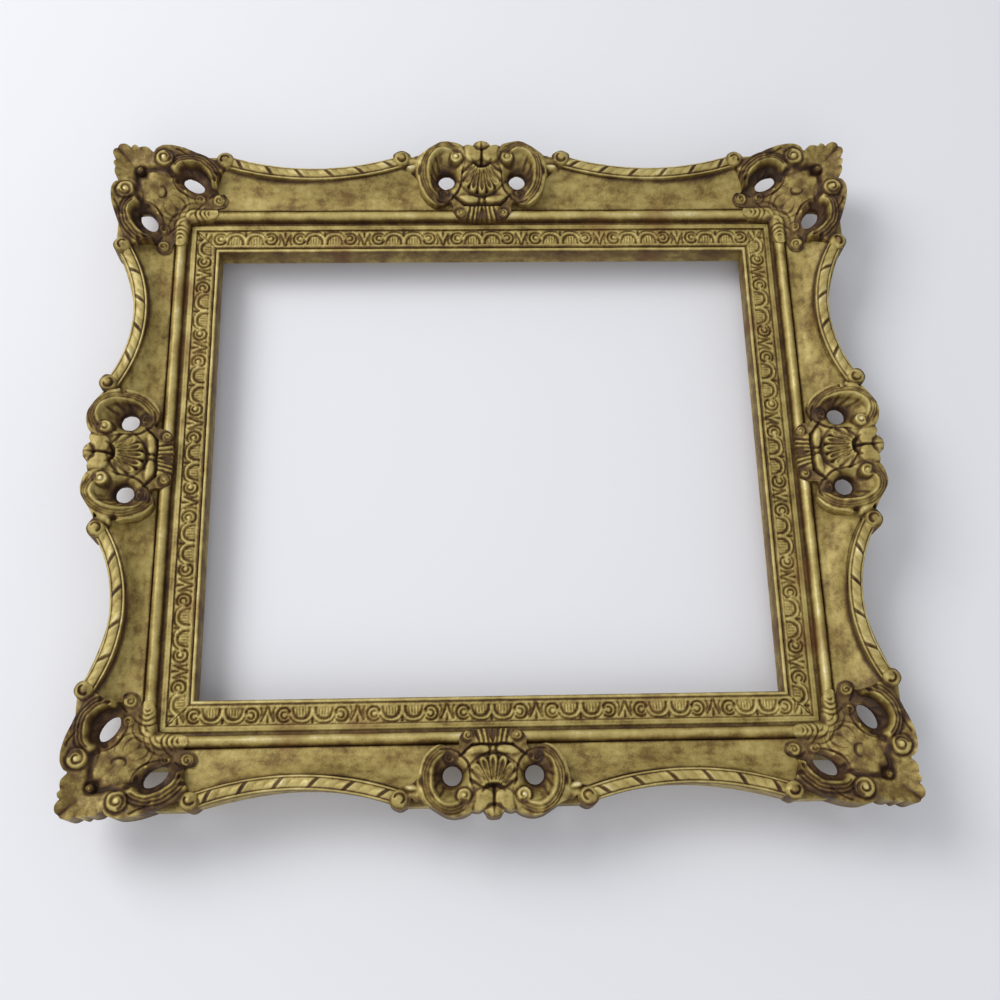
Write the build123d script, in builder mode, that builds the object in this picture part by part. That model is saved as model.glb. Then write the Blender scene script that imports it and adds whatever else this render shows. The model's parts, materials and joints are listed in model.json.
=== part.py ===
from build123d import *
from math import asin, cos, degrees, hypot, pi, radians, sin, sqrt
import os

os.makedirs("parts", exist_ok=True)

# The frame lies on its back. The origin is the middle of the back, on the surface it rests on.
# X runs across the picture, Y up the picture and Z out of the front.

# Sight opening and the space behind it, in millimetres
sight_width = 312.6
sight_height = 267.8
rabbet_width = 7.0
lip_underside = 12.0

# Front of the moulding, as widths counted outward from the sight edge
bead_width = 2.5
band_width = 11.4
flat_width = 3.1
channel_width = 2.0
ridge_width = 6.4
moulding_reach = 60.7
wood_setback = 2.7

# Heights of the front of the moulding above the back
lip_front = 24.2
bead_crown = 25.3
band_seat = 24.2
flat_front = 27.0
channel_floor = 25.6
ridge_inner_foot = 27.2
ridge_crown = 31.4
ridge_outer_foot = 29.0
cove_floor = 28.4
land_height = 36.5

# Back of the moulding
ledge_height = 6.0
ledge_reach = 22.0
foot_reach = 33.5
flange_root_reach = 36.0
flange_root_height = 21.0
flange_tip_height = 25.0

# Swept runs between the knobs: places of the knobs and depth of each sweep
knob_near_centre_across = 47.8
knob_near_centre_upright = 42.6
knob_from_corner_share = 1.46453089
knob_clearance_share = 0.14645309
sweep_depth_across = 11.9
sweep_depth_upright = 16.3
cove_spread = 10.6
cove_hollow = 0.30
ribbon_width = 7.6
ribbon_crown = 41.0
ribbon_shoulder = 38.6
ribbon_overhang = 0.4
ribbon_lip = 1.1
ribbon_ease = 1.5
slot_width = 1.4
slot_depth = 1.9
slot_slant = 36.0
slot_pitch = 17.0

# Strip of scroll ornament that lies in the band beside the sight edge
band_thickness = 1.8
band_edge = 0.5

# Cast ornaments on the corners and the middles of the sides
centre_proud = 1.1
lobe_rise = 15.6
centre_tip_rise = 17.6
volute_rise = 20.0
knob_rise = 14.8
arm_rise = 19.4
arm_fall_inward = 0.33
arm_fall_along = 0.06
body_rise = 12.0
apron_rise = 3.8
body_fall = 0.125
collar_draft = 1.6
petal_rise = 15.5
spiral_rise = 5.2
boss_rise = 15.6
shell_rise = 7.4
ornament_skirt = 3.0

# Turn buttons that hold the backing in the rabbet
button_thickness = 1.4
button_end_radius = 4.0
button_tip_radius = 3.0
button_arm = 12.6
button_place = 62.0
running_gap = 0.05
pivot_clearance = 0.08

# Screws
screw_radius = 1.3
screw_length = 9.0
screw_head_radius = 2.5
screw_head_height = 1.2

# Strap hangers with their rings
hanger_height_share = 0.24
strap_width = 6.0
strap_length = 24.0
strap_thickness = 1.0
strap_screw_inset = 5.0
strap_screw_spacing = 11.5
ring_wire_radius = 1.1
ring_half_width = 5.6
ring_length = 12.0
eye_wall = 1.0

# Nails across each mitre
nail_thickness = 0.7
nail_depth = 10.0
nail_half_span = 3.4
nail_rise = 1.9
nail_sink = 0.3
nail_foot_shares = (0.3, 0.72)

overrun = 5.0

half_sight_width = sight_width / 2
half_sight_height = sight_height / 2
band_inner = bead_width
band_outer = band_inner + band_width
flat_outer = band_outer + flat_width
ridge_inner = flat_outer + channel_width
ridge_outer = ridge_inner + ridge_width
wood_reach = moulding_reach - wood_setback
ornament_depth = moulding_reach - flat_outer
knob_from_corner = knob_from_corner_share * ornament_depth
knob_clearance = knob_clearance_share * ornament_depth
centre_reach = moulding_reach + centre_proud
ledge_middle = (rabbet_width + ledge_reach) / 2

# Flat facets round the bosses, ribs and ovals
knob_sides = 6
spiral_sides = 5
bar_sides = 4
oval_sides = 8
window_sides = 8
screw_sides = 8
shank_sides = 12
wire_sides = 8
button_sides = 12
eye_sides = 10
ridge_facets = 5
outline_facets = 8
leaf_facets = 4
run_facets = 8
flatness_share = 0.0001

side_names = ("bottom", "left", "top", "right")
corner_names = ("bottom_left", "top_left", "top_right", "bottom_right")


def side_plane(side):
    """Plane of one side: x along the side, y outward from its sight edge, z out of the front."""
    outward = {"bottom": (0, -1, 0), "left": (-1, 0, 0), "top": (0, 1, 0), "right": (1, 0, 0)}[side]
    distance = half_sight_height if side in ("bottom", "top") else half_sight_width
    along = Vector(*outward).cross(Vector(0, 0, 1))
    return Plane(origin=Vector(*outward) * distance, x_dir=along, z_dir=(0, 0, 1))


def centre_plane(side):
    """Plane at the outermost point of a middle ornament: y inward, z out of the front."""
    base = side_plane(side)
    return Plane(origin=base.origin + base.y_dir * centre_reach, x_dir=-base.x_dir, z_dir=(0, 0, 1))


def corner_plane(corner):
    """Plane at the outer corner of the frame, with x and y both inward along the two sides."""
    half_width = half_sight_width + moulding_reach
    half_height = half_sight_height + moulding_reach
    origins = {
        "bottom_left": ((-half_width, -half_height, 0), (1, 0, 0)),
        "top_left": ((-half_width, half_height, 0), (0, -1, 0)),
        "top_right": ((half_width, half_height, 0), (-1, 0, 0)),
        "bottom_right": ((half_width, -half_height, 0), (0, 1, 0)),
    }
    origin, inward = origins[corner]
    return Plane(origin=origin, x_dir=inward, z_dir=(0, 0, 1))


class Run:
    """One swept run: its middle along the side, its radius and the centre of that radius."""

    def __init__(self, half_sight, knob_near_centre, sweep_depth):
        knob_near_corner = half_sight + moulding_reach - knob_from_corner
        half_chord = (knob_near_corner - knob_near_centre) / 2
        dip = sweep_depth - wood_setback
        self.middle = (knob_near_corner + knob_near_centre) / 2
        self.radius = (half_chord**2 + dip**2) / (2 * dip)
        self.centre_reach = moulding_reach - sweep_depth + self.radius
        half_turn = asin((half_chord - knob_clearance) / self.radius)
        self.turns = [half_turn * (2 * index / run_facets - 1) for index in range(run_facets + 1)]

    def half_chord_at(self, setback, reach):
        """Half the length cut out of a straight edge at this reach by the arc set back inward."""
        return sqrt((self.radius + setback) ** 2 - (self.centre_reach - reach) ** 2)

    def place(self, sign, turn, distance):
        """Place on the run at a turn from its middle: along the side, then outward."""
        return (sign * self.middle + distance * sin(turn), self.centre_reach - distance * cos(turn))

    def swept(self, sign, profile):
        """Solid with flat facets along the run, from distances to the run's axis and heights."""
        rings = []
        for turn in self.turns:
            rings.append([Vector(*self.place(sign, turn, distance), height) for distance, height in profile])
        return faceted_solid(rings)


across_run = Run(half_sight_width, knob_near_centre_across, sweep_depth_across)
upright_run = Run(half_sight_height, knob_near_centre_upright, sweep_depth_upright)
run_of_side = {"bottom": across_run, "top": across_run, "left": upright_run, "right": upright_run}
half_sight_of_side = {
    "bottom": half_sight_width,
    "top": half_sight_width,
    "left": half_sight_height,
    "right": half_sight_height,
}

# Shares of ornament_depth, chosen by hand. In a corner, x and y are both inward from the outer corner.
corner_outline_shares = [
    (0.06, 0.06), (0.20, 0.03), (0.34, 0.03), (0.48, 0.07), (0.62, 0.01), (0.80, 0.00),
    (0.98, 0.04), (1.18, 0.11), (1.36, 0.18),
]
corner_inner_shares = [
    (1.50, 0.30), (1.37, 0.36), (1.35, 0.50), (1.34, 0.62), (1.44, 0.70), (1.40, 0.80),
    (1.30, 0.86), (1.22, 0.93), (1.08, 0.95), (1.00, 1.00),
]
leaf_outer_shares = [(0.50, 0.08), (0.66, 0.00), (0.84, 0.00), (1.04, 0.06), (1.26, 0.13), (1.42, 0.20)]
leaf_inner_shares = [(1.42, 0.32), (1.22, 0.30), (1.02, 0.27), (0.84, 0.26), (0.66, 0.30)]
corner_hole_shares = (1.01, 0.47, 0.175, 0.112)
corner_bowl_shares = (1.03, 0.43, 0.270, 0.195)
corner_collar_shares = (1.04, 0.43, 0.330, 0.255)
corner_hole_tilt = 25.0
corner_volute_shares = (0.65, 0.185, 0.105)
corner_knob_shares = (1.465, 0.165, 0.115)
corner_spiral_shares = [(1.39, 0.68, 0.070)]
corner_petal_shares = [(0.30, 0.045), (0.18, 0.035), (0.06, 0.06)]
petal_root_share = 0.42
petal_radii_shares = (0.035, 0.085)
cartouche_shares = (0.62, 0.62, 0.17)
boss_shares = (0.62, 0.62, 0.06)
corner_window_shares = (1.03, 0.46, 0.235, 0.185)

# Shares of ornament_depth on a middle ornament, x from its centre line and y inward from its tip
centre_outline_shares = [
    (0.00, 0.03), (0.17, 0.03), (0.31, 0.06), (0.45, 0.00), (0.60, 0.04), (0.73, 0.12),
    (0.86, 0.16), (1.00, 0.19),
]
centre_inner_shares = [
    (1.04, 0.34), (0.91, 0.37), (0.82, 0.42), (0.80, 0.55), (0.74, 0.68), (0.62, 0.76),
    (0.44, 0.77), (0.36, 0.80), (0.37, 0.93), (0.27, 1.00), (0.00, 1.00),
]
centre_hole_shares = (0.48, 0.46, 0.135, 0.115)
centre_bowl_shares = (0.505, 0.40, 0.225, 0.300)
centre_collar_shares = (0.51, 0.385, 0.290, 0.375)
centre_volute_shares = (0.345, 0.185, 0.085)
centre_knob_shares = (0.19, 0.110)
centre_lobe_shares = [(0.115, 0.10, 0.095), (0.235, 0.075, 0.070)]
bud_shares = (0.0, 0.09, 0.085)
slit_shares = (0.018, 0.36)
pad_shares = (0.13, 0.775, 0.105)
centre_spiral_shares = [(0.29, 0.90, 0.065)]
centre_flute_shares = (-0.14, 0.0, 0.14)
centre_flute_span_shares = (0.84, 0.97)
flute_radius_share = 0.045
shell_root_share = 0.30
shell_length_share = 0.40
shell_radii_shares = (0.018, 0.056)
shell_ribs = 7
shell_spread = 128.0
centre_window_share = 0.185

# Bosses of the ornaments, as shares of the radius of each boss
stem_share = 0.6
crown_share = 0.45
crown_height_share = 0.4


def scaled(shares):
    """Points of an outline given as shares of the ornament's depth."""
    return [(share_x * ornament_depth, share_y * ornament_depth) for share_x, share_y in shares]


def swapped(points):
    """The same points on the other arm of a corner, in the opposite order."""
    return [(point_y, point_x) for point_x, point_y in reversed(points)]


def mirrored(points):
    """The same points on the other half of a middle ornament, in the opposite order."""
    return [(-point_x, point_y) for point_x, point_y in reversed(points)]


def faceted_solid(rings):
    """Solid with flat facets from ring to ring. All rings have the same number of points."""
    faces = [Face(Wire.make_polygon(rings[0])), Face(Wire.make_polygon(rings[-1]))]
    for lower, upper in zip(rings, rings[1:]):
        for index, first in enumerate(lower):
            following = (index + 1) % len(lower)
            corners = [first, lower[following], upper[following], upper[index]]
            normal = (corners[1] - first).cross(corners[2] - first).normalized()
            twist = abs(normal.dot(corners[3] - first))
            if twist < flatness_share * ornament_depth:
                faces.append(Face(Wire.make_polygon(corners)))
            else:
                faces.append(Face(Wire.make_polygon([corners[0], corners[1], corners[2]])))
                faces.append(Face(Wire.make_polygon([corners[0], corners[2], corners[3]])))
    return Solid(Shell(faces))


def oval_ring(plane, semi_axes, sides):
    """Points of an oval with flat facets, its first axis along the plane's x."""
    turns = [2 * pi * (index + 0.5) / sides for index in range(sides)]
    return [plane.from_local_coords((semi_axes[0] * cos(turn), semi_axes[1] * sin(turn), 0)) for turn in turns]


def faceted_curve(points, facets):
    """Points that cut a smooth curve through the given points into equal shares."""
    return shared_out(Spline(*points), points[0], points[-1], facets)


def faceted_arc(start, middle, end, facets):
    """Points that cut an arc through three points into equal shares."""
    return shared_out(ThreePointArc(start, middle, end), start, end, facets)


def shared_out(curve, start, end, facets):
    """Points at equal shares of a curve's length, between its two exact ends."""
    between = [curve @ (index / facets) for index in range(1, facets)]
    return [start, *[(point.X, point.Y) for point in between], end]


def boss(place, radius, rise, sides):
    """Faceted boss: a stem that swells to a rounded knob, up to its rise above the cove floor."""
    low = cove_floor - ornament_skirt
    top = cove_floor + rise
    girdle_top = top - radius * crown_height_share
    rings = []
    for share, height in ((stem_share, low), (1, girdle_top), (crown_share, top)):
        plane = Plane(origin=(place[0], place[1], height), x_dir=(1, 0, 0), z_dir=(0, 0, 1))
        rings.append(oval_ring(plane, (radius * share, radius * share), sides))
    return faceted_solid(rings)


def bosses(table, rise, sides):
    """Bosses of one height from their shares: x, y and radius."""
    made = []
    for shares in table:
        x, y, radius = [share * ornament_depth for share in shares]
        made.append(boss((x, y), radius, rise, sides))
    return made


def tapered_bar(start, end, radii, height):
    """Ribbed bar that lies flat on the ornament and widens from its start to its end."""
    across = Vector(start[1] - end[1], end[0] - start[0], 0)
    direction = Vector(end[0] - start[0], end[1] - start[1], 0)
    rings = []
    for place, radius in ((start, radii[0]), (end, radii[1])):
        plane = Plane(origin=(place[0], place[1], height), x_dir=across, z_dir=direction)
        rings.append(oval_ring(plane, (radius, radius), bar_sides))
    return faceted_solid(rings)


def oval_at(shares, tilt, height, widening=0.0):
    """Ring of points of an ornament's oval from its shares, widened all round, at a height."""
    turned = (cos(radians(tilt)), sin(radians(tilt)), 0)
    origin = (shares[0] * ornament_depth, shares[1] * ornament_depth, height)
    plane = Plane(origin=origin, x_dir=turned, z_dir=(0, 0, 1))
    semi_axes = [share * ornament_depth + widening for share in shares[2:]]
    return oval_ring(plane, semi_axes, oval_sides)


def pierced_bowl(hole, bowl, tilt):
    """Space of a pierced hole and of its mouth, which flares up to the rim of the bowl."""
    low = cove_floor - ornament_skirt - overrun
    top = cove_floor + volute_rise + overrun
    return faceted_solid([oval_at(hole, tilt, low), oval_at(hole, tilt, cove_floor), oval_at(bowl, tilt, top)])


def collar(shares, tilt):
    """Wall round a bowl, drawn in a little towards its top."""
    low = cove_floor - ornament_skirt
    top = cove_floor + arm_rise + overrun
    return faceted_solid([oval_at(shares, tilt, low), oval_at(shares, tilt, top, -collar_draft)])


def nail_outline(plane):
    """Chevron of one nail, across the mitre, seen from the back."""
    half = nail_thickness / 2
    with BuildSketch(plane) as outline:
        with BuildLine():
            Polyline(
                (-nail_rise - half, -nail_half_span), (-nail_rise + half, -nail_half_span), (half, 0),
                (-nail_rise + half, nail_half_span), (-nail_rise - half, nail_half_span), (-half, 0),
                close=True,
            )
        make_face()
    return outline.sketch


def nail_planes(height):
    """Planes of all the nails: two on the mitre of each corner, in the foot of the moulding."""
    planes = []
    for corner in corner_names:
        base = corner_plane(corner)
        inward = (base.x_dir + base.y_dir).normalized()
        for reach_share in nail_foot_shares:
            reach = ledge_reach + (foot_reach - ledge_reach) * reach_share
            distance = (moulding_reach - reach) * sqrt(2)
            origin = base.origin + inward * distance + Vector(0, 0, height)
            planes.append(Plane(origin=origin, x_dir=inward, z_dir=(0, 0, 1)))
    return planes


def screw_places(side):
    """Places of the screws on one side, along it and outward: the turn button, then the hanger."""
    places = [(button_along(side), ledge_middle)]
    if side in ("left", "right"):
        strap_end = hanger_along(side)
        away = -1 if strap_end > 0 else 1
        for inset in (strap_screw_inset, strap_screw_inset + strap_screw_spacing):
            places.append((strap_end + away * inset, ledge_middle))
    return places


def button_along(side):
    """Place of the turn button's pivot along its side: the lower half on the upright sides."""
    if side in ("bottom", "top"):
        return button_place
    return -side_plane(side).x_dir.Y * button_place * sight_height / sight_width


def hanger_along(side):
    """Place of the hanger's eye along its side, measured in that side's own direction."""
    up = side_plane(side).x_dir.Y
    return up * hanger_height_share * sight_height


def make_rail(side):
    """Wooden rail: moulding, rabbet, ledge and overhanging flange, mitred, swept and pierced."""
    half_sight = half_sight_of_side[side]
    run = run_of_side[side]
    half_length = half_sight + moulding_reach + overrun
    ridge_middle = ((ridge_inner + ridge_outer) / 2, ridge_crown)
    ridge = faceted_arc(
        (ridge_inner, ridge_inner_foot), ridge_middle, (ridge_outer, ridge_outer_foot), ridge_facets
    )
    with BuildPart() as rail:
        with BuildSketch(Plane(origin=(-half_length, 0, 0), x_dir=(0, 1, 0), z_dir=(1, 0, 0))):
            with BuildLine():
                Line((0, lip_underside), (0, lip_front))
                ThreePointArc((0, lip_front), (bead_width / 2, bead_crown), (bead_width, band_seat))
                Polyline(
                    (band_inner, band_seat), (band_outer, band_seat), (band_outer, flat_front),
                    (flat_outer, flat_front), (flat_outer, channel_floor), (ridge_inner, channel_floor),
                    *ridge, (ridge_outer, cove_floor), (wood_reach, cove_floor),
                    (wood_reach, flange_tip_height), (flange_root_reach, flange_root_height),
                    (foot_reach, 0), (ledge_reach, 0), (ledge_reach, ledge_height),
                    (rabbet_width, ledge_height), (rabbet_width, lip_underside), (0, lip_underside),
                )
            make_face()
        extrude(amount=2 * half_length)

        # Raised land under each run of ribbon edge, with the cove hollowed up to it
        for sign in (-1, 1):
            land_outer = run.radius + ribbon_overhang
            land_inner = run.radius + ribbon_width
            cove_foot = land_inner + cove_spread
            hollow = (
                land_inner + cove_spread * cove_hollow,
                cove_floor + (land_height - cove_floor) * cove_hollow,
            )
            profile = [
                (cove_foot, cove_floor), (cove_foot, flange_tip_height), (land_outer, flange_tip_height),
                (land_outer, land_height), (land_inner, land_height), hollow,
            ]
            add(run.swept(sign, profile))

        # Mitred ends and swept outer edge
        edge_radius = run.radius + ribbon_overhang
        chord = run.half_chord_at(ribbon_overhang, wood_reach)
        edges = []
        for sign in (-1, 1):
            edges.append([run.place(sign, turn, edge_radius) for turn in reversed(run.turns)])
        with BuildSketch(Plane.XY):
            with BuildLine():
                Polyline(
                    (run.middle - chord, wood_reach), (chord - run.middle, wood_reach), *edges[0],
                    (-chord - run.middle, wood_reach), (-half_sight - wood_reach, wood_reach),
                    (-half_sight, 0), (half_sight, 0), (half_sight + wood_reach, wood_reach),
                    (run.middle + chord, wood_reach), *edges[1],
                    close=True,
                )
            make_face()
        extrude(amount=land_height + overrun, mode=Mode.INTERSECT)

        # Windows behind the pierced holes of the ornaments
        for sign in (-1, 1):
            hole = centre_hole_shares
            place = (sign * hole[0] * ornament_depth, centre_reach - hole[1] * ornament_depth)
            with BuildSketch(Plane.XY):
                with Locations(place):
                    RegularPolygon(centre_window_share * ornament_depth, window_sides)
            extrude(amount=land_height, mode=Mode.SUBTRACT)
            shares = corner_window_shares
            corner_along = half_sight + moulding_reach - shares[0] * ornament_depth
            centre = (sign * corner_along, moulding_reach - shares[1] * ornament_depth, 0)
            tilt = radians(sign * corner_hole_tilt)
            window_plane = Plane(origin=centre, x_dir=(cos(tilt), sin(tilt), 0), z_dir=(0, 0, 1))
            semi_axes = [share * ornament_depth for share in shares[2:]]
            with BuildSketch():
                with BuildLine():
                    Polyline(*oval_ring(window_plane, semi_axes, window_sides), close=True)
                make_face()
            extrude(amount=land_height, mode=Mode.SUBTRACT)

        # Pilot holes for the screws of the turn buttons and hangers
        for place in screw_places(side):
            with BuildSketch(Plane.XY.offset(ledge_height)):
                with Locations(place):
                    RegularPolygon(screw_radius, screw_sides, major_radius=False)
            extrude(amount=screw_length, mode=Mode.SUBTRACT)

    with BuildPart() as placed:
        add(side_plane(side).location * rail.part)
        # Slots that the mitre nails are driven into
        for plane in nail_planes(0):
            add(nail_outline(plane))
        extrude(amount=nail_depth, mode=Mode.SUBTRACT)
    return placed.part


def make_band(side):
    """Cast strip of scroll ornament, mitred, with its long edges eased."""
    half_sight = half_sight_of_side[side]
    with BuildPart() as band:
        with BuildSketch(Plane.XY.offset(band_seat)):
            with BuildLine():
                Polyline(
                    (-half_sight - band_inner, band_inner), (half_sight + band_inner, band_inner),
                    (half_sight + band_outer, band_outer), (-half_sight - band_outer, band_outer),
                    close=True,
                )
            make_face()
        extrude(amount=band_thickness)
        chamfer(band.faces().sort_by(Axis.Z)[-1].edges().filter_by(Axis.X), band_edge)
    return side_plane(side).location * band.part


def make_ribbon(side, sign):
    """Ribbon edge of one run: rounded band between two lips, crossed by slanting slots."""
    run = run_of_side[side]
    inner = run.radius + ribbon_width
    profile = [
        (inner, land_height), (inner, ribbon_shoulder), (inner - ribbon_lip, ribbon_shoulder),
        (inner - ribbon_lip - ribbon_ease, ribbon_crown),
        (run.radius + ribbon_lip + ribbon_ease, ribbon_crown),
        (run.radius + ribbon_lip, ribbon_shoulder), (run.radius, ribbon_shoulder),
        (run.radius, land_height),
    ]
    with BuildPart() as ribbon:
        add(run.swept(sign, profile))
        slots = int(2 * run.turns[-1] * run.radius / slot_pitch)
        for index in range(slots):
            turn = (index - (slots - 1) / 2) * slot_pitch / run.radius
            middle = run.radius + ribbon_width / 2
            place = (*run.place(sign, turn, middle), ribbon_crown)
            with Locations(Location(place, (0, 0, degrees(turn) + sign * slot_slant))):
                Box(slot_width, ribbon_width * 2, slot_depth * 2, mode=Mode.SUBTRACT)
    return side_plane(side).location * ribbon.part


def make_corner_master():
    """Cast corner ornament with x and y inward from the outer corner, before it is seated."""
    low = cove_floor - ornament_skirt
    depth = ornament_depth
    body_height = cove_floor + body_rise
    outer = faceted_curve(scaled(corner_outline_shares), outline_facets)
    inner = scaled(corner_inner_shares)
    leaf_outer = faceted_curve(scaled(leaf_outer_shares), leaf_facets)
    leaf_inner = scaled(leaf_inner_shares)
    with BuildPart() as body:
        with BuildSketch(Plane.XY.offset(low)):
            with BuildLine():
                Polyline(*outer, *inner, *swapped(inner)[1:], *swapped(outer), close=True)
            make_face()
        extrude(amount=body_height)
        split(bisect_by=Plane(origin=(0, 0, body_height), z_dir=(body_fall, body_fall, 1)), keep=Keep.BOTTOM)
        base = body.faces().sort_by(Axis.Z)[0]
        extrude(base, amount=ornament_skirt + apron_rise, dir=(0, 0, 1))
    with BuildPart() as arm:
        with BuildSketch(Plane.XY.offset(low)):
            with BuildLine():
                Polyline(*leaf_outer, *leaf_inner, close=True)
            make_face()
        extrude(amount=body_height)
        add(collar(corner_collar_shares, corner_hole_tilt))
        top = Plane(
            origin=(0, 0, cove_floor + arm_rise), z_dir=(arm_fall_along, arm_fall_inward, 1)
        )
        split(bisect_by=top, keep=Keep.BOTTOM)
        add(bosses([corner_volute_shares], volute_rise, knob_sides))
        add(bosses([corner_knob_shares], knob_rise, knob_sides))
        add(bosses(corner_spiral_shares, spiral_rise, spiral_sides))
        add(pierced_bowl(corner_hole_shares, corner_bowl_shares, corner_hole_tilt), mode=Mode.SUBTRACT)
    with BuildPart() as ornament:
        add(body.part)
        bowl = pierced_bowl(corner_hole_shares, corner_bowl_shares, corner_hole_tilt)
        diagonal = Plane(origin=(0, 0, 0), z_dir=(1, -1, 0))
        add(bowl, mode=Mode.SUBTRACT)
        mirror(bowl, about=diagonal, mode=Mode.SUBTRACT)
        add(arm.part)
        mirror(arm.part, about=diagonal)
        root = petal_root_share * depth
        petals = scaled(corner_petal_shares)
        radii = [share * depth for share in petal_radii_shares]
        for tip in petals + swapped(petals)[1:]:
            add(tapered_bar((root, root), tip, radii, cove_floor + petal_rise - radii[1]))
        add(bosses([cartouche_shares], body_rise, knob_sides))
        add(bosses([boss_shares], boss_rise, knob_sides))
    return ornament.part


def make_centre_master(knob_along):
    """Cast middle ornament with y inward from its tip, before it is seated."""
    low = cove_floor - ornament_skirt
    depth = ornament_depth
    body_height = cove_floor + body_rise
    stretch = knob_along - depth
    outline = scaled(centre_outline_shares)
    outline[-1] = (knob_along, outline[-1][1])
    outline[-2] = (outline[-2][0] + stretch / 2, outline[-2][1])
    outer = faceted_curve(outline, outline_facets)
    inner = scaled(centre_inner_shares)
    inner[0] = (knob_along, inner[0][1])
    with BuildPart() as body:
        with BuildSketch(Plane.XY.offset(low)):
            with BuildLine():
                Polyline(*mirrored(outer)[:-1], *outer, *inner, *mirrored(inner)[1:], close=True)
            make_face()
        extrude(amount=body_height)
        split(bisect_by=Plane(origin=(0, 0, body_height), z_dir=(0, 2 * body_fall, 1)), keep=Keep.BOTTOM)
        base = body.faces().sort_by(Axis.Z)[0]
        extrude(base, amount=ornament_skirt + apron_rise, dir=(0, 0, 1))
    with BuildPart() as arm:
        add(collar(centre_collar_shares, 0))
        top = Plane(origin=(0, 0, cove_floor + arm_rise), z_dir=(arm_fall_along, arm_fall_inward, 1))
        split(bisect_by=top, keep=Keep.BOTTOM)
        add(bosses([centre_volute_shares], volute_rise, knob_sides))
        knob = (knob_along, centre_knob_shares[0] * depth)
        add(boss(knob, centre_knob_shares[1] * depth, knob_rise, knob_sides))
        add(bosses(centre_lobe_shares, lobe_rise, spiral_sides))
        add(bosses([pad_shares, *centre_spiral_shares], spiral_rise, spiral_sides))
        add(pierced_bowl(centre_hole_shares, centre_bowl_shares, 0), mode=Mode.SUBTRACT)
    with BuildPart() as ornament:
        add(body.part)
        bowl = pierced_bowl(centre_hole_shares, centre_bowl_shares, 0)
        add(bowl, mode=Mode.SUBTRACT)
        mirror(bowl, about=Plane.YZ, mode=Mode.SUBTRACT)
        add(arm.part)
        mirror(arm.part, about=Plane.YZ)
        add(bosses([bud_shares], centre_tip_rise, knob_sides))
        slit_length = slit_shares[1] * depth
        with Locations((0, slit_length / 2, cove_floor + centre_tip_rise)):
            Box(slit_shares[0] * depth, slit_length, centre_tip_rise - body_rise, mode=Mode.SUBTRACT)
        root = (0, shell_root_share * depth)
        radii = [share * depth for share in shell_radii_shares]
        for index in range(shell_ribs):
            turn = radians(shell_spread * (index / (shell_ribs - 1) - 1 / 2))
            reach = shell_length_share * depth
            tip = (root[0] + reach * sin(turn), root[1] + reach * cos(turn))
            add(tapered_bar(root, tip, radii, cove_floor + shell_rise))
        start, end = centre_flute_span_shares
        radius = flute_radius_share * depth
        for offset in centre_flute_shares:
            first = (offset * depth, start * depth)
            last = (offset * depth, end * depth)
            add(tapered_bar(first, last, (radius, radius), cove_floor + spiral_rise - radius))
    return ornament.part


def add_screw(side, place, seat_height, turned_shank):
    """Screw with its head against a plate whose outer face lies at this height."""
    base = side_plane(side)
    origin = base.origin + base.x_dir * place[0] + base.y_dir * place[1]
    head_plane = Plane(
        origin=origin + Vector(0, 0, seat_height - screw_head_height), x_dir=base.x_dir, z_dir=(0, 0, 1)
    )
    with BuildSketch(head_plane) as head:
        RegularPolygon(screw_head_radius, screw_sides)
    extrude(head.sketch, amount=screw_head_height)
    with BuildSketch(head_plane.offset(screw_head_height)) as shank:
        if turned_shank:
            RegularPolygon(screw_radius, shank_sides)
        else:
            RegularPolygon(screw_radius, screw_sides, major_radius=False)
    extrude(shank.sketch, amount=ledge_height + screw_length - seat_height)


def moved(part, source, target):
    """The same piece carried from one plane to another."""
    return target.location * source.location.inverse() * part


rails = {side: make_rail(side) for side in side_names}
for side, rail in rails.items():
    rail.label = "rail_" + side
    export_step(rail, "parts/rail_" + side + ".step")

for side in side_names:
    band = make_band(side)
    band.label = "scroll_band_" + side
    export_step(band, "parts/scroll_band_" + side + ".step")

# Corner ornaments, seated on the mitred rails of one corner and carried to the corner opposite
corner_master = make_corner_master()
ornaments = {}
for first_name, second_name, first_rail, second_rail in (
    ("bottom_left", "top_right", "bottom", "left"),
    ("bottom_right", "top_left", "bottom", "right"),
):
    first_plane = corner_plane(first_name)
    with BuildPart() as seated_corner:
        add(first_plane.location * corner_master)
        add(rails[first_rail], mode=Mode.SUBTRACT)
        add(rails[second_rail], mode=Mode.SUBTRACT)
    for name in (first_name, second_name):
        with BuildPart() as corner_ornament:
            add(moved(seated_corner.part, first_plane, corner_plane(name)))
        corner_ornament.part.label = "corner_ornament_" + name
        export_step(corner_ornament.part, "parts/corner_ornament_" + name + ".step")
        ornaments[name] = corner_ornament.part

# Middle ornaments, one pattern for the wide sides and one for the upright sides
for first_side, second_side, knob_along in (
    ("bottom", "top", knob_near_centre_across),
    ("left", "right", knob_near_centre_upright),
):
    with BuildPart() as seated_centre:
        add(centre_plane(first_side).location * make_centre_master(knob_along))
        add(rails[first_side], mode=Mode.SUBTRACT)
    for side in (first_side, second_side):
        with BuildPart() as centre_ornament:
            add(moved(seated_centre.part, centre_plane(first_side), centre_plane(side)))
        centre_ornament.part.label = "centre_ornament_" + side
        export_step(centre_ornament.part, "parts/centre_ornament_" + side + ".step")
        ornaments[side] = centre_ornament.part

# Ribbon edges between the knobs. The two runs of each side are named by the half of the frame that
# they lie in.
for side in side_names:
    for sign in (-1, 1):
        direction = side_plane(side).x_dir * sign
        if side in ("bottom", "top"):
            end = "right" if direction.X > 0 else "left"
        else:
            end = "upper" if direction.Y > 0 else "lower"
        ribbon = make_ribbon(side, sign)
        ribbon.label = "ribbon_edge_" + side + "_" + end
        export_step(ribbon, "parts/ribbon_edge_" + side + "_" + end + ".step")

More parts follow.
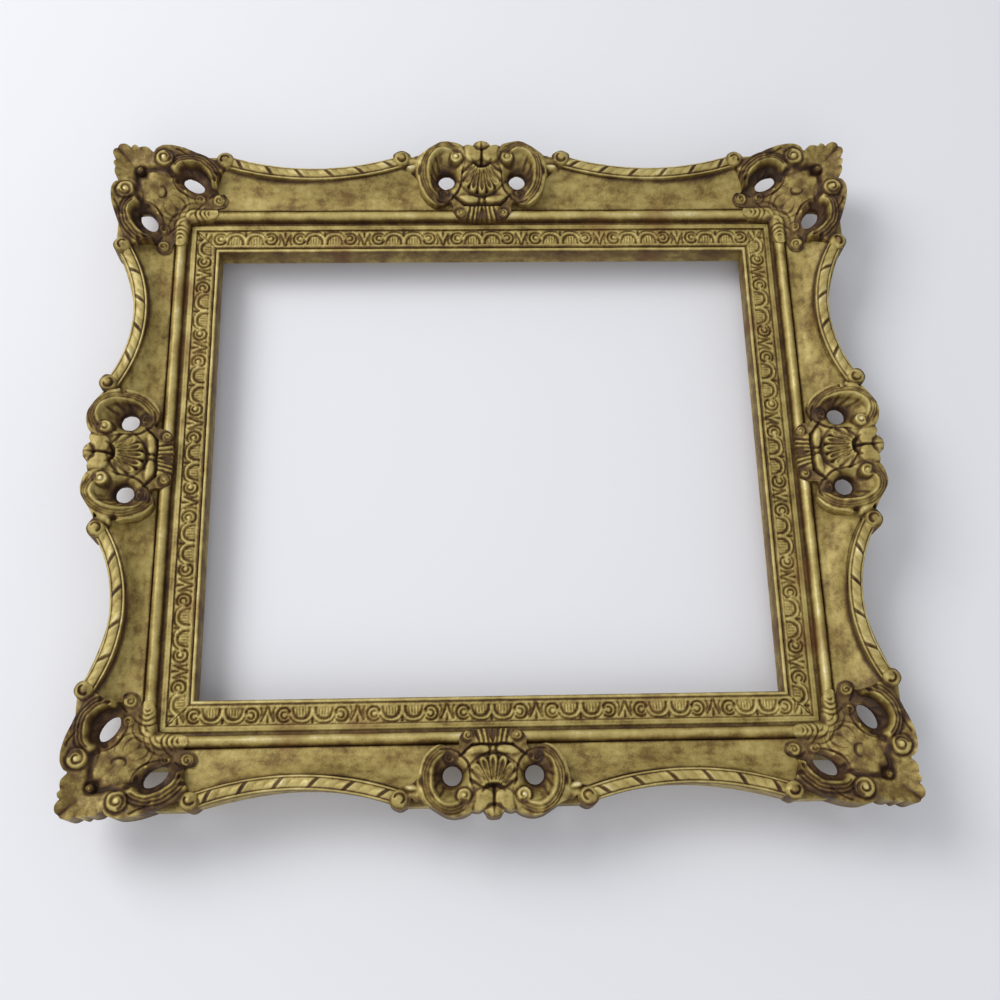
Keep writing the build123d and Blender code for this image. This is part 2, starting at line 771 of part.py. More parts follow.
# Nails driven across the mitres from the back
with BuildPart() as mitre_nails:
    for plane in nail_planes(nail_sink):
        add(nail_outline(plane))
    extrude(amount=nail_depth - nail_sink)
mitre_nails.part.label = "mitre_nails"
export_step(mitre_nails.part, "parts/mitre_nails.step")

# Turn buttons, parked along their sides on the ledge
button_top = ledge_height - running_gap
for side in side_names:
    with BuildPart() as turn_button:
        pivot = (button_along(side), ledge_middle)
        tip = (pivot[0] + button_arm - button_tip_radius, pivot[1])
        with BuildSketch(Plane.XY.offset(button_top - button_thickness)):
            with Locations(pivot):
                RegularPolygon(button_end_radius, button_sides)
            with Locations(tip):
                RegularPolygon(button_tip_radius, button_sides)
            make_hull()
            with Locations(pivot):
                Circle(screw_radius + pivot_clearance, mode=Mode.SUBTRACT)
        extrude(amount=button_thickness)
    placed_button = side_plane(side).location * turn_button.part
    placed_button.label = "turn_button_" + side
    export_step(placed_button, "parts/turn_button_" + side + ".step")

with BuildPart() as button_screws:
    for side in side_names:
        add_screw(side, screw_places(side)[0], button_top - button_thickness - running_gap, True)
button_screws.part.label = "turn_button_screws"
export_step(button_screws.part, "parts/turn_button_screws.step")

with BuildPart() as hanger_screws:
    for side in ("left", "right"):
        for place in screw_places(side)[1:]:
            add_screw(side, place, ledge_height - strap_thickness, False)
hanger_screws.part.label = "hanger_screws"
export_step(hanger_screws.part, "parts/hanger_screws.step")

# Strap hangers: a strap rolled into an eye round the straight bar of a triangular ring
bar_bore = ring_wire_radius + pivot_clearance
eye_radius = bar_bore + eye_wall
eye_height = ledge_height - eye_radius - running_gap
hanger_level = hanger_height_share * sight_height
for side, sign in (("left", -1), ("right", 1)):
    across = sign * (half_sight_width + ledge_middle)
    with BuildPart() as strap:
        with BuildSketch(Plane.XY.offset(ledge_height - strap_thickness)):
            with Locations((across, hanger_level - strap_length / 2)):
                strap_face = Rectangle(strap_width, strap_length)
            chamfer(strap_face.vertices().group_by(Axis.Y)[0], strap_width / 4)
            for inset in (strap_screw_inset, strap_screw_inset + strap_screw_spacing):
                with Locations((across, hanger_level - inset)):
                    RegularPolygon(screw_radius, screw_sides, major_radius=False, mode=Mode.SUBTRACT)
        extrude(amount=strap_thickness)
        eye_start = Plane(
            origin=(across - strap_width / 2, hanger_level, eye_height), x_dir=(0, 1, 0), z_dir=(1, 0, 0)
        )
        with BuildSketch(eye_start):
            RegularPolygon(eye_radius, eye_sides)
        extrude(amount=strap_width)
        with BuildSketch(eye_start.offset(-overrun)):
            Circle(bar_bore)
        extrude(amount=strap_width + 2 * overrun, mode=Mode.SUBTRACT)
    strap.part.label = "hanger_strap_" + side
    export_step(strap.part, "parts/hanger_strap_" + side + ".step")

    with BuildPart() as ring:
        ring_plane = Plane(origin=(across, hanger_level, eye_height))
        with BuildLine(ring_plane) as bow:
            Polyline(
                (0, 0), (ring_half_width, 0), (0, ring_length), (-ring_half_width, 0),
                close=True,
            )
        with BuildSketch(Plane(origin=bow.line @ 0, z_dir=bow.line % 0)):
            RegularPolygon(ring_wire_radius, wire_sides)
        sweep(path=bow.line, transition=Transition.RIGHT)
    ring.part.label = "hanger_ring_" + side
    export_step(ring.part, "parts/hanger_ring_" + side + ".step")
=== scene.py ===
"""Gilded swept picture frame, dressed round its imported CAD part.

Lengths are in millimetres until a mesh is made. A side has its own plane: x along the side and y
outward from the sight edge. A corner has x and y inward from its outer corner, and a middle ornament
has y inward from its outermost point.
"""

import json
from math import asin, cos, pi, radians, sin

import bpy
import numpy as np
from mathutils import Matrix, Vector

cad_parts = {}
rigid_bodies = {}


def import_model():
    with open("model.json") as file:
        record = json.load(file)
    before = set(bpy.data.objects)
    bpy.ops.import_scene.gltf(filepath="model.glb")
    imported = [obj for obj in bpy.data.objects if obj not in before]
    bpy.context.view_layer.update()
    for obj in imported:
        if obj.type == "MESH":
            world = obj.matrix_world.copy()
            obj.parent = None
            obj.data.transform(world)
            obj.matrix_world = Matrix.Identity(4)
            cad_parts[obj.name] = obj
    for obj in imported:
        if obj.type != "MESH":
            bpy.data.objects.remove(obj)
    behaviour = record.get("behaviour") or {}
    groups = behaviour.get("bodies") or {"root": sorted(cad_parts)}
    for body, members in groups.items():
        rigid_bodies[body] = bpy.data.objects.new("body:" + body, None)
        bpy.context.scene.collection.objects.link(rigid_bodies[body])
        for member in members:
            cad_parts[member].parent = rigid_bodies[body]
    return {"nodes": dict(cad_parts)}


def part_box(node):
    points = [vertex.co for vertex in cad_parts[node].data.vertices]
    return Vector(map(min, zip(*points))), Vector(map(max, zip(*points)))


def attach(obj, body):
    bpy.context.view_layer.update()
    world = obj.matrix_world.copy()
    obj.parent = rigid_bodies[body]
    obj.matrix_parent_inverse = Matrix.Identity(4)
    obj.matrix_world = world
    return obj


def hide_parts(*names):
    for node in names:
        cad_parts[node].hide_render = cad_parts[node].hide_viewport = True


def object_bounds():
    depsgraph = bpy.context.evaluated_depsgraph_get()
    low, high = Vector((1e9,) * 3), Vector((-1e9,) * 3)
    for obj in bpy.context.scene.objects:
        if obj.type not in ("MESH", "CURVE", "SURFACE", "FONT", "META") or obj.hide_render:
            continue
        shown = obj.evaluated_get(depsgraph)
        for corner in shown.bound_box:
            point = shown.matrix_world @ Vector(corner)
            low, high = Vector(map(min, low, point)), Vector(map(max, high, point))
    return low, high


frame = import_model()
cad_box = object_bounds()

MM = 0.001
SIDES = {"bottom": "across", "left": "upright", "top": "across", "right": "upright"}
OUTWARD = {"bottom": (0, -1), "left": (-1, 0), "top": (0, 1), "right": (1, 0)}
CORNERS = {"bottom_left": (-1, -1), "top_left": (-1, 1), "top_right": (1, 1), "bottom_right": (1, -1)}

# Driving dimensions, taken from the frame
half_sight_width = -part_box("rail_left")[1][0] / MM
half_sight_height = -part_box("rail_bottom")[1][1] / MM
wood_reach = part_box("rail_right")[1][0] / MM - half_sight_width
moulding_reach = wood_reach + 2.7
centre_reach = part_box("centre_ornament_right")[1][0] / MM - half_sight_width

# Front of the moulding, as distances outward from the sight edge, and its heights
band_inner = 2.5
band_outer = 13.9
flat_outer = 17.0
ridge_inner = 19.0
ridge_outer = 25.4
lip_underside = 12.0
bead_foot = 24.2
bead_crown = 25.3
band_floor = 24.4
band_rise = 2.0
band_motif = 23.5
flat_front = 27.0
channel_floor = 25.7
ridge_foot = 27.0
ridge_crown = 31.4
cove_floor = 28.4
cove_crown = 37.4
land_height = 36.5
ornament_foot = 25.4
ornament_over_ridge = 32.3
shell_wall = 2.6
skin = 1.1

# Back of the moulding
rabbet_width = 7.0
ledge_reach = 22.0
ledge_height = 6.0
foot_reach = 33.5
flange_root = (36.0, 21.0)
flange_tip_height = 25.0

# Swept runs and their ribbon
knob_near_centre = {"across": 47.8, "upright": 42.6}
run_middle_reach = {"across": 48.8, "upright": 44.4}
knob_from_corner = 64.0
run_end_reach = 58.0
ribbon_width = 7.6
ribbon_overhang = 0.4
ribbon_shoulder = 38.9
ribbon_rise = 2.4
ribbon_pitch = 17.5
ribbon_slant = 40.0
fillet = 0.55
quirk = 1.3

grid_step = 0.36
ornament_step = 0.3
rail_step = 1.0
oval_steps = 48


def linear(red, green, blue):
    """Linear colour of an sRGB colour in 0 to 255."""
    values = np.array([red, green, blue]) / 255
    low = values / 12.92
    high = ((values + 0.055) / 1.055) ** 2.4
    return (*np.where(values <= 0.04045, low, high), 1.0)


# ---- Numbers on grids ----


def smoothstep(value, low, high):
    """Smooth step from 0 at low to 1 at high."""
    share = np.clip((value - low) / (high - low), 0, 1)
    return share * share * (3 - 2 * share)


def bell(offset, width, power=2):
    """Bell curve: 1 at no offset, falling off over the width."""
    return np.exp(-((offset / width) ** power))


def spot(x, y, centre, radii):
    """Oval bell curve round a place."""
    return np.exp(-(((x - centre[0]) / radii[0]) ** 2 + ((y - centre[1]) / radii[1]) ** 2))


def spread(share, values):
    """Value at a share of a length over which the values are evenly spread."""
    return np.interp(share, np.linspace(0, 1, len(values)), values)


def soft_max(first, second, reach):
    """Larger of two heights, rounded where they cross."""
    mix = np.clip(0.5 + 0.5 * (first - second) / reach, 0, 1)
    return second + (first - second) * mix + reach * mix * (1 - mix)


def blurred(grid, radius):
    """Grid blurred by a bell curve of this radius in cells."""
    reach = max(1, int(3 * radius))
    weights = np.exp(-0.5 * (np.arange(-reach, reach + 1) / radius) ** 2)
    weights /= weights.sum()
    for _ in range(2):
        padded = np.pad(grid, ((reach, reach), (0, 0)), mode="edge")
        grid = sum(weight * padded[i : i + len(grid)] for i, weight in enumerate(weights)).T
    return grid


def cloud(x, y, scale, seed):
    """Smooth random field between about -1 and 1, the same for the same seed."""
    draws = np.random.default_rng(seed)
    total = np.zeros_like(x)
    for _ in range(10):
        turn = draws.uniform(0, 2 * pi)
        wave = 2 * pi / (scale * draws.uniform(0.6, 1.8))
        phase = draws.uniform(0, 2 * pi)
        total += np.sin(wave * (x * cos(turn) + y * sin(turn)) + phase)
    return total / 4


def smooth_path(points, steps=10):
    """Curve through the points, with this many steps between two of them."""
    points = np.array(points, float)
    padded = np.vstack([2 * points[0] - points[1], points, 2 * points[-1] - points[-2]])
    t = np.arange(steps)[:, None] / steps
    curve = []
    for before, start, end, after in zip(padded, padded[1:], padded[2:], padded[3:]):
        square = 2 * before - 5 * start + 4 * end - after
        cube = 3 * start - before - 3 * end + after
        curve.append(0.5 * (2 * start + (end - before) * t + square * t**2 + cube * t**3))
    return np.vstack(curve + [points[-1:]])


def arc_path(centre, radii, start, end, steps, tilt=0.0):
    """Points on an oval arc, its angles and the oval's tilt in degrees."""
    turns = np.radians(np.linspace(start, end, steps))
    u, v = radii[0] * np.cos(turns), radii[1] * np.sin(turns)
    c, s = cos(radians(tilt)), sin(radians(tilt))
    return np.column_stack([centre[0] + u * c - v * s, centre[1] + u * s + v * c])


def oval_outline(oval):
    """Points round an oval, given by its centre, radii and tilt."""
    centre, radii, tilt = oval
    return arc_path(centre, radii, 0, 360, oval_steps + 1, tilt)[:-1]


def path_starts(path):
    """Distance of each point of a path from its first point, along the path."""
    return np.concatenate([[0], np.cumsum(np.linalg.norm(np.diff(path, axis=0), axis=1))])


def path_distance(x, y, path):
    """Distance of each grid point from a path, and the share of the path's length there."""
    starts = path_starts(path)
    best = np.full(x.shape, 1e9)
    share = np.zeros(x.shape)
    for index, length in enumerate(np.diff(starts)):
        if length == 0:
            continue
        ax, ay = path[index]
        dx, dy = (path[index + 1] - path[index]) / length
        along = np.clip((x - ax) * dx + (y - ay) * dy, 0, length)
        distance = (x - ax - along * dx) ** 2 + (y - ay - along * dy) ** 2
        nearer = distance < best
        best = np.where(nearer, distance, best)
        share = np.where(nearer, (starts[index] + along) / starts[-1], share)
    return np.sqrt(best), share


def inside_polygon(x, y, polygon):
    """True where a grid point lies inside a closed polygon."""
    inside = np.zeros(x.shape, bool)
    for (ax, ay), (bx, by) in zip(polygon, np.roll(polygon, -1, axis=0)):
        if ay == by:
            continue
        crosses = (ay > y) != (by > y)
        inside ^= crosses & (x < ax + (y - ay) * (bx - ax) / (by - ay))
    return inside


def snapped(x, y, polygon, keep, step):
    """Grid with the corner points of the kept cells' edge moved on to the polygon."""
    kept = np.zeros(x.shape, int)
    for di in (0, 1):
        for dj in (0, 1):
            kept[di : di + keep.shape[0], dj : dj + keep.shape[1]] += keep
    edge = (kept > 0) & (kept < 4)
    closed = np.vstack([polygon, polygon[:1]])
    distance, share = path_distance(x[edge], y[edge], closed)
    starts = path_starts(closed)
    moved = []
    for grid, ends in zip((x, y), closed.T):
        grid = grid.copy()
        grid[edge] = np.where(distance < 1.2 * step, np.interp(share * starts[-1], starts, ends), grid[edge])
        moved.append(grid)
    return moved


class Relief:
    """Carved relief on a grid: heights and tone that grooves, ridges and bosses are worked into. The tone is
    umber wash and rubbing, with painted shade and painted light in the bowls and a painted highlight on the
    volutes' eyes.
    """

    def __init__(self, x_range, y_range, step):
        xs, ys = (np.arange(low, high + step, step) for low, high in (x_range, y_range))
        self.step = step
        self.x, self.y = np.meshgrid(xs, ys, indexing="ij")
        self.z = np.zeros_like(self.x)
        self.tone = np.zeros_like(self.x)
        self.back = np.full_like(self.x, ornament_foot)

    def local(self, centre, tilt=0.0):
        """Grid coordinates about a centre, turned by the tilt in degrees."""
        turn = radians(tilt)
        dx = self.x - centre[0]
        dy = self.y - centre[1]
        return dx * cos(turn) + dy * sin(turn), dy * cos(turn) - dx * sin(turn)

    def ridge(self, points, width, top, melt, tone=0.0, steps=10):
        """Rounded ridge along a smooth curve, its width and top height given at shares of its length."""
        distance, share = path_distance(self.x, self.y, smooth_path(points, steps))
        half = spread(share, width) / 2
        across = distance / half
        raised = np.where(across < 1.9, spread(share, top) - half * across**2, -1e3)
        self.z = soft_max(self.z, raised, melt)
        self.tone += tone * np.exp(-(across**2))

    def groove(self, path, width, depth, tone):
        """Groove along a path, its width and depth given at shares of its length."""
        distance, share = path_distance(self.x, self.y, np.array(path, float))
        across = distance / (spread(share, width) / 2)
        self.z -= spread(share, depth) * np.exp(-1.3 * across**2)
        self.tone -= 0.75 * tone * np.exp(-0.8 * across**2)

    def line(self, points, width, depth, tone):
        """Groove along a smooth curve through the points."""
        self.groove(smooth_path(points), width, depth, tone)

    def dome(self, centre, radii, top, foot, melt, tilt=0.0):
        """Rounded boss from its foot to its top height, at a place."""
        u, v = self.local(centre, tilt)
        q = (u / radii[0]) ** 2 + (v / radii[1]) ** 2
        shape = foot + (top - foot) * np.clip(1 - q, 0, None) ** 0.5
        self.z = np.where(q < 1.1, soft_max(self.z, shape, melt), self.z)

    def pit(self, centre, radii, depth, tilt=0.0, tone=0.5):
        """Soft dark pit at a place."""
        u, v = self.local(centre, tilt)
        cut = np.exp(-1.4 * ((u / radii[0]) ** 2 + (v / radii[1]) ** 2))
        self.z -= depth * cut
        self.tone -= tone * cut

    def spiral(self, centre, radius, turns, start, hand, depth, width):
        """Spiral groove of a volute, from its rim to its eye."""
        t = np.linspace(0, 1, int(18 * turns))
        shrink = radius * (1 - 0.86 * t)
        angle = radians(start) + hand * 2 * pi * turns * t
        path = np.column_stack([centre[0] + shrink * np.cos(angle), centre[1] + shrink * np.sin(angle)])
        self.groove(path, (width, width, width * 0.6), (depth, depth, depth), 0.4)

    def volute(self, centre, radius, top, foot, turns, start, hand, pale=0.0):
        """Rolled end of a scroll: a low round boss with a spiral groove, a dark moat and an eye, which can take a
        painted highlight.
        """
        distance = np.hypot(*self.local(centre))
        share = np.clip(1 - (distance / radius) ** 4, 0, None)
        boss = np.where(distance < radius, foot + (top - foot) * share**0.5, -1e3)
        self.z = soft_max(self.z, boss, 0.3)
        moat = bell(distance - radius - 0.2, 0.9)
        self.z -= 0.6 * moat
        self.tone -= 0.35 * moat
        pitch = 0.84 * radius / turns
        self.spiral(centre, radius - 0.42 * pitch, turns, start, hand, 0.40 * pitch, 0.62 * pitch)
        eye = 0.28 * radius
        ball = top - 0.4 + 0.6 * np.sqrt(np.clip(1 - (distance / eye) ** 2, 0, 1))
        self.z = soft_max(self.z, np.where(distance < eye, ball, -1e3), 0.15)
        # Pale rubbed eye with a painted highlight on it
        self.tone += pale * bell(distance, eye, 4)

    def curl(self, centre, radius, turns, start, hand, rise):
        """Low spiral that lies on the surface."""
        distance = np.hypot(*self.local(centre))
        self.z += rise * smoothstep(distance, 1.1 * radius, 0.7 * radius)
        self.tone -= 0.3 * bell(distance - radius - 0.3, 0.8)
        self.spiral(centre, 0.72 * radius, turns, start, hand, 0.7, 1.1)

    def away(self, oval):
        """Distance outward from an oval's edge, along the ray from its centre, and the ray's angle."""
        centre, radii, tilt = oval
        u, v = self.local(centre, tilt)
        q = np.hypot(u / radii[0], v / radii[1]) + 1e-6
        return np.hypot(u, v) * (1 - 1 / q), np.degrees(np.arctan2(v / radii[1], u / radii[0]))

    def rim(self, oval, span, heights, reach, lines, wash):
        """Crest round part of an oval bowl, with fine grooves side by side along it."""
        beyond, angle = self.away(oval)
        share = (angle - span[0]) / (span[1] - span[0])
        ends = smoothstep(share, -0.02, 0.08) * smoothstep(share, 1.02, 0.90)
        fall = 0.10 * beyond + 0.035 * np.clip(beyond, 0, None) ** 2 + 0.5 * np.clip(-beyond, 0, None) ** 2
        crest = spread(share, heights) - fall
        part = ends * smoothstep(beyond, -2.0, -0.4) * smoothstep(beyond, reach + 1.5, reach - 1.5)
        self.z += (np.maximum(self.z, crest) - self.z) * part
        self.tone -= wash * part
        for line in lines:
            self.z -= 0.8 * part * bell(beyond - line, 0.5)
            self.tone -= 0.32 * part * bell(beyond - line, 0.75)

    def funnel(self, hole, rim, floor, tone, painted_light):
        """Bowl from the rim oval, at the height there, down to the floor at the edge of its hole, with umber
        wash, painted shade and painted light in it.
        """
        past_hole, _ = self.away(hole)
        past_rim, _ = self.away(rim)
        inside = past_rim < 0
        share = np.clip(past_hole / np.where(inside, past_hole - past_rim, 1.0), 0, 1)
        share = np.where(inside, share, 1.0)
        self.z = np.where(inside, floor + (self.z - floor) * np.clip(share, 1e-6, 1) ** 0.7, self.z)
        # Umber wash and painted shade, deepest at the hole and on the inner side, and painted light on the outer
        # slope
        inward = self.local(rim[0], rim[2])[1] / rim[1][1]
        shade = 0.25 + 0.75 * smoothstep(inward, -0.6, 0.2)
        self.tone -= np.where(inside, tone * shade * (1 - share) ** 1.2, 0.0)
        self.tone -= 0.3 * shade * bell(past_rim + 0.6, 1.4)
        lit = np.clip(share * (1.15 - share) * 3.0, 0, 1) * smoothstep(inward, 0.5, -0.4)
        self.tone += np.where(inside, painted_light * lit, 0.0)
        # The casting is hollow behind the bowl
        hollow = ornament_foot + (self.z - shell_wall - ornament_foot) * smoothstep(past_rim, 0.0, -2.0)
        self.back = np.maximum(self.back, np.where(inside, hollow, ornament_foot))

    def waver(self, seed, amount):
        """Lets the lines that follow waver as if cut by hand."""
        x, y = self.x, self.y
        self.x = x + amount * cloud(x, y, 9.0, seed) + 0.4 * amount * cloud(x, y, 3.6, seed + 1)
        self.y = y + amount * cloud(x, y, 9.0, seed + 2) + 0.4 * amount * cloud(x, y, 3.6, seed + 3)

    def finish(self, seed, roughness=0.10):
        """Slight unevenness of the cast and gilded surface, and its uneven wash."""
        x, y = self.x, self.y
        self.tone *= 1.0 + 0.35 * cloud(x, y, 5.0, seed + 7)
        self.tone += 0.10 * cloud(x, y, 7.0, seed + 8) + 0.08 * cloud(x, y, 2.4, seed + 9)
        self.z += roughness * (cloud(x, y, 6.0, seed) + 0.35 * cloud(x, y, 1.8, seed + 1))


def cavity_of(z, step):
    """How far each point stands above (+) or lies below (-) its surroundings, as rubbing (+) and umber wash (-).
    """
    surface_tone = np.zeros_like(z)
    for radius, depth, most, weight in ((0.8, 0.45, 0.6, 0.5), (2.4, 1.6, 0.5, 0.4), (6.0, 4.5, 0.2, 0.4)):
        surface_tone += weight * np.clip((z - blurred(z, radius / step)) / depth, -1, most)
    return surface_tone


# ---- Meshes ----


def new_mesh(name, points, faces, surface_tone=None):
    """Mesh from points in millimetres, with its tone as an attribute: umber wash and rubbing, and on the
    ornaments and windows also painted shade and highlights.
    """
    mesh = bpy.data.meshes.new(name)
    mesh.from_pydata((np.array(points) * MM).tolist(), [], faces)
    mesh.update()
    if surface_tone is not None:
        attribute = mesh.attributes.new("relief", "FLOAT", "POINT")
        attribute.data.foreach_set("value", np.ascontiguousarray(surface_tone, np.float32))
    return mesh


def add_object(name, data):
    """New object in the scene."""
    made = bpy.data.objects.new(name, data)
    bpy.context.scene.collection.objects.link(made)
    return made


def new_piece(node, points, faces, surface_tone, matrix, ending="_carved", slot="gilded_composition", crease=38.0):
    """Smooth piece of the frame that stands for a CAD node."""
    mesh = new_mesh(node + ending, points, faces, surface_tone)
    mesh.shade_smooth()
    mesh.set_sharp_from_angle(angle=radians(crease))
    piece = add_object(node + ending, mesh)
    piece.matrix_world = matrix
    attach(piece, "frame")
    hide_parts(node)
    return piece


def grid_solid(x, y, front, back, keep, surface_tone):
    """Points, faces and wear of a solid between two heights over the kept cells of a grid."""
    rows, columns = x.shape
    shift = rows * columns
    index = np.arange(shift).reshape(rows, columns)
    a, b = index[:-1, :-1][keep], index[1:, :-1][keep]
    c, d = index[1:, 1:][keep], index[:-1, 1:][keep]
    faces = [np.column_stack([a, b, c, d]), np.column_stack([d, c, b, a]) + shift]
    padded = np.pad(keep, 1)
    middle = padded[1:-1, 1:-1]
    for neighbour, first, second in (
        (padded[1:-1, :-2], index[:-1, :-1], index[1:, :-1]),
        (padded[2:, 1:-1], index[1:, :-1], index[1:, 1:]),
        (padded[1:-1, 2:], index[1:, 1:], index[:-1, 1:]),
        (padded[:-2, 1:-1], index[:-1, 1:], index[:-1, :-1]),
    ):
        edge = middle & ~neighbour
        start, end = first[edge], second[edge]
        faces.append(np.column_stack([end, start, start + shift, end + shift]))
    faces = np.vstack(faces)
    points = np.vstack([np.column_stack([x.ravel(), y.ravel(), z.ravel()]) for z in (front, back)])
    surface_tone = np.concatenate([surface_tone.ravel(), np.full(shift, -0.55)])
    used = np.unique(faces)
    renumbered = np.full(len(points), -1)
    renumbered[used] = np.arange(len(used))
    return points[used], renumbered[faces].tolist(), surface_tone[used]


def plane_matrix(origin, x_dir, y_dir):
    """Matrix of a plane with z out of the front, its origin in millimetres."""
    rows = [(x_dir[i], y_dir[i], 0, origin[i] * MM) for i in (0, 1)]
    return Matrix(rows + [(0, 0, 1, 0), (0, 0, 0, 1)])


def side_matrix(side, reach=0.0, outward=1):
    """Plane of a side from a reach past its sight edge: x along it, y outward or, for -1, inward."""
    out_x, out_y = OUTWARD[side]
    distance = reach + (half_sight_height if SIDES[side] == "across" else half_sight_width)
    origin = (out_x * distance, out_y * distance)
    return plane_matrix(origin, (outward * out_y, -outward * out_x), (outward * out_x, outward * out_y))


def corner_matrix(corner):
    """Plane of a corner: x and y inward from its outer corner, in a right-handed order."""
    sign_x, sign_y = CORNERS[corner]
    origin = (sign_x * (half_sight_width + moulding_reach), sign_y * (half_sight_height + moulding_reach))
    across, upright = (-sign_x, 0), (0, -sign_y)
    if sign_x * sign_y > 0:
        return plane_matrix(origin, across, upright)
    return plane_matrix(origin, upright, across)


# ---- The moulding ----


class Run:
    """One swept run of a side: the arc of its ribbon edge."""

    def __init__(self, kind):
        self.half_sight = half_sight_width if kind == "across" else half_sight_height
        near = knob_near_centre[kind]
        far = self.half_sight + moulding_reach - knob_from_corner
        self.half_chord = (far - near) / 2
        self.middle = (far + near) / 2
        dip = run_end_reach - run_middle_reach[kind]
        self.radius = (self.half_chord**2 + dip**2) / (2 * dip)
        self.centre_reach = run_middle_reach[kind] + self.radius

    def edge(self, x, setback):
        """Reach of the arc, set back inward, at a place along the side."""
        offset = np.clip(np.abs(np.abs(x) - self.middle), 0, self.half_chord)
        return self.centre_reach - np.sqrt((self.radius + setback) ** 2 - offset**2)


runs = {side: Run(kind) for side, kind in SIDES.items()}


def cove_rise(share):
    """Height of the cove at a share of its width."""
    return cove_floor + (cove_crown - cove_floor) * (0.25 * share + 0.75 * share**2.6)


def moulding_profile(y):
    """Height of the front from the sight edge to the ridge's outer foot."""
    half_bead = band_inner / 2
    bead = bead_foot + (bead_crown - bead_foot) * np.sqrt(np.clip(1 - ((y - half_bead) / half_bead) ** 2, 0, 1))
    ridge_middle = (ridge_inner + ridge_outer) / 2
    ridge_half = (ridge_outer - ridge_inner) / 2
    ridge_share = np.clip(1 - ((y - ridge_middle) / ridge_half) ** 2, 0, 1)
    ridge = ridge_foot + (ridge_crown - ridge_foot) * ridge_share**0.55
    flat = flat_front - 0.5 * smoothstep(y, band_outer + 2.4, flat_outer)
    height = np.where(y < band_inner, bead, band_floor - 0.3)
    height = np.where(y >= band_outer, flat, height)
    height = np.where(y >= flat_outer, channel_floor, height)
    return np.where(y >= ridge_inner, ridge, height)


def rail_wear(points, run):
    """Wear of the moulding's front: umber in the quirks and on the cove under the ribbon."""
    x, y = points[..., 0], points[..., 1]
    surface_tone = np.zeros_like(x)
    for line, width, lift in (
        (0.0, 0.5, -0.6), (band_inner, 0.45, -0.7), (band_outer, 0.45, -0.6), (17.9, 1.1, -0.55),
        (ridge_inner, 0.5, -0.6), (25.5, 0.8, -0.8), (1.1, 0.8, 0.5), (14.3, 0.5, 0.35), (16.5, 0.5, 0.3),
        (21.4, 1.6, 0.45),
    ):
        surface_tone += lift * bell(y - line, width)
    surface_tone += 0.09 * cloud(0.2 * x, y, 2.6, 15) + 0.10 * cloud(0.5 * x, y, 14.0, 16)
    under = run.edge(x, ribbon_width) - y
    return surface_tone - bell(under, 1.1) * (under > -0.5)


def build_rail(side):
    """Wooden rail: its front as in the photo and the back of the CAD rail."""
    run = runs[side]
    half_sight = run.half_sight
    stations = np.linspace(-1, 1, int(2 * (half_sight + wood_reach) / rail_step))
    along = stations * (half_sight + wood_reach)
    inner_edge = run.edge(along, ribbon_width)
    in_run = np.abs(np.abs(along) - run.middle) < run.half_chord
    outer_edge = np.minimum(np.where(in_run, run.edge(along, ribbon_overhang), wood_reach), wood_reach)
    outer_edge = np.maximum(outer_edge, inner_edge + 0.4)
    # Rows of reach and height: bead, bed, flat, channel and ridge, then cove, land and back
    hair = 0.01
    front = np.array([
        0.0, 0.15, 0.4, 0.8, 1.25, 1.7, 2.1, 2.35, band_inner, band_inner + hair, 4.0, 8.2, 12.4,
        band_outer - hair, band_outer, 14.4, 15.5, 16.4, flat_outer - hair, flat_outer, 17.6, 18.4,
        ridge_inner - hair, ridge_inner, 19.1, 19.3, 19.7, 20.3, 21.2, 22.2, 23.2, 24.1, 24.7, 25.1, 25.3,
        ridge_outer,
    ])
    rows = list(zip(front, moulding_profile(front)))
    for share in np.linspace(0, 1, 26)[1:]:
        reach = ridge_outer + (inner_edge - ridge_outer) * share
        rows.append((reach, cove_rise(share)))
    rows += [(inner_edge + 0.05, land_height), (outer_edge, land_height)]
    front_rows = len(rows)
    rows += [
        (outer_edge, flange_tip_height), flange_root, (foot_reach, 0.0), (ledge_reach, 0.0),
        (ledge_reach, ledge_height), (rabbet_width, ledge_height), (rabbet_width, lip_underside),
        (0.0, lip_underside),
    ]
    points = np.zeros((len(stations), len(rows), 3))
    for row, (reach, height) in enumerate(rows):
        points[:, row, 1] = reach
        points[:, row, 2] = height
    points[:, :, 0] = stations[:, None] * (half_sight + points[:, :, 1])
    x, y = points[:, :front_rows, 0], points[:, :front_rows, 1]
    tool_marks = 0.10 * cloud(x * 0.35, y, 7.0, 11) + 0.05 * cloud(x, y, 2.6, 12)
    points[:, 1:front_rows, 2] += tool_marks[:, 1:] * smoothstep(y[:, 1:], 0.0, 2.0)
    index = np.arange(points[..., 0].size).reshape(points.shape[:2])
    following = np.roll(index, -1, axis=1)
    corners = [index[:-1], index[1:], following[1:], following[:-1]]
    faces = np.column_stack([corner.ravel() for corner in corners]).tolist()
    faces += [index[0].tolist(), index[-1][::-1].tolist()]
    surface_tone = np.full(index.shape, -0.1)
    surface_tone[:, :front_rows] = rail_wear(points[:, :front_rows], run)
    return new_piece("rail_" + side, points.reshape(-1, 3), faces, surface_tone.ravel(), side_matrix(side),
                     "_wood", "gilded_wood", 30)


rails = {side: build_rail(side) for side in SIDES}


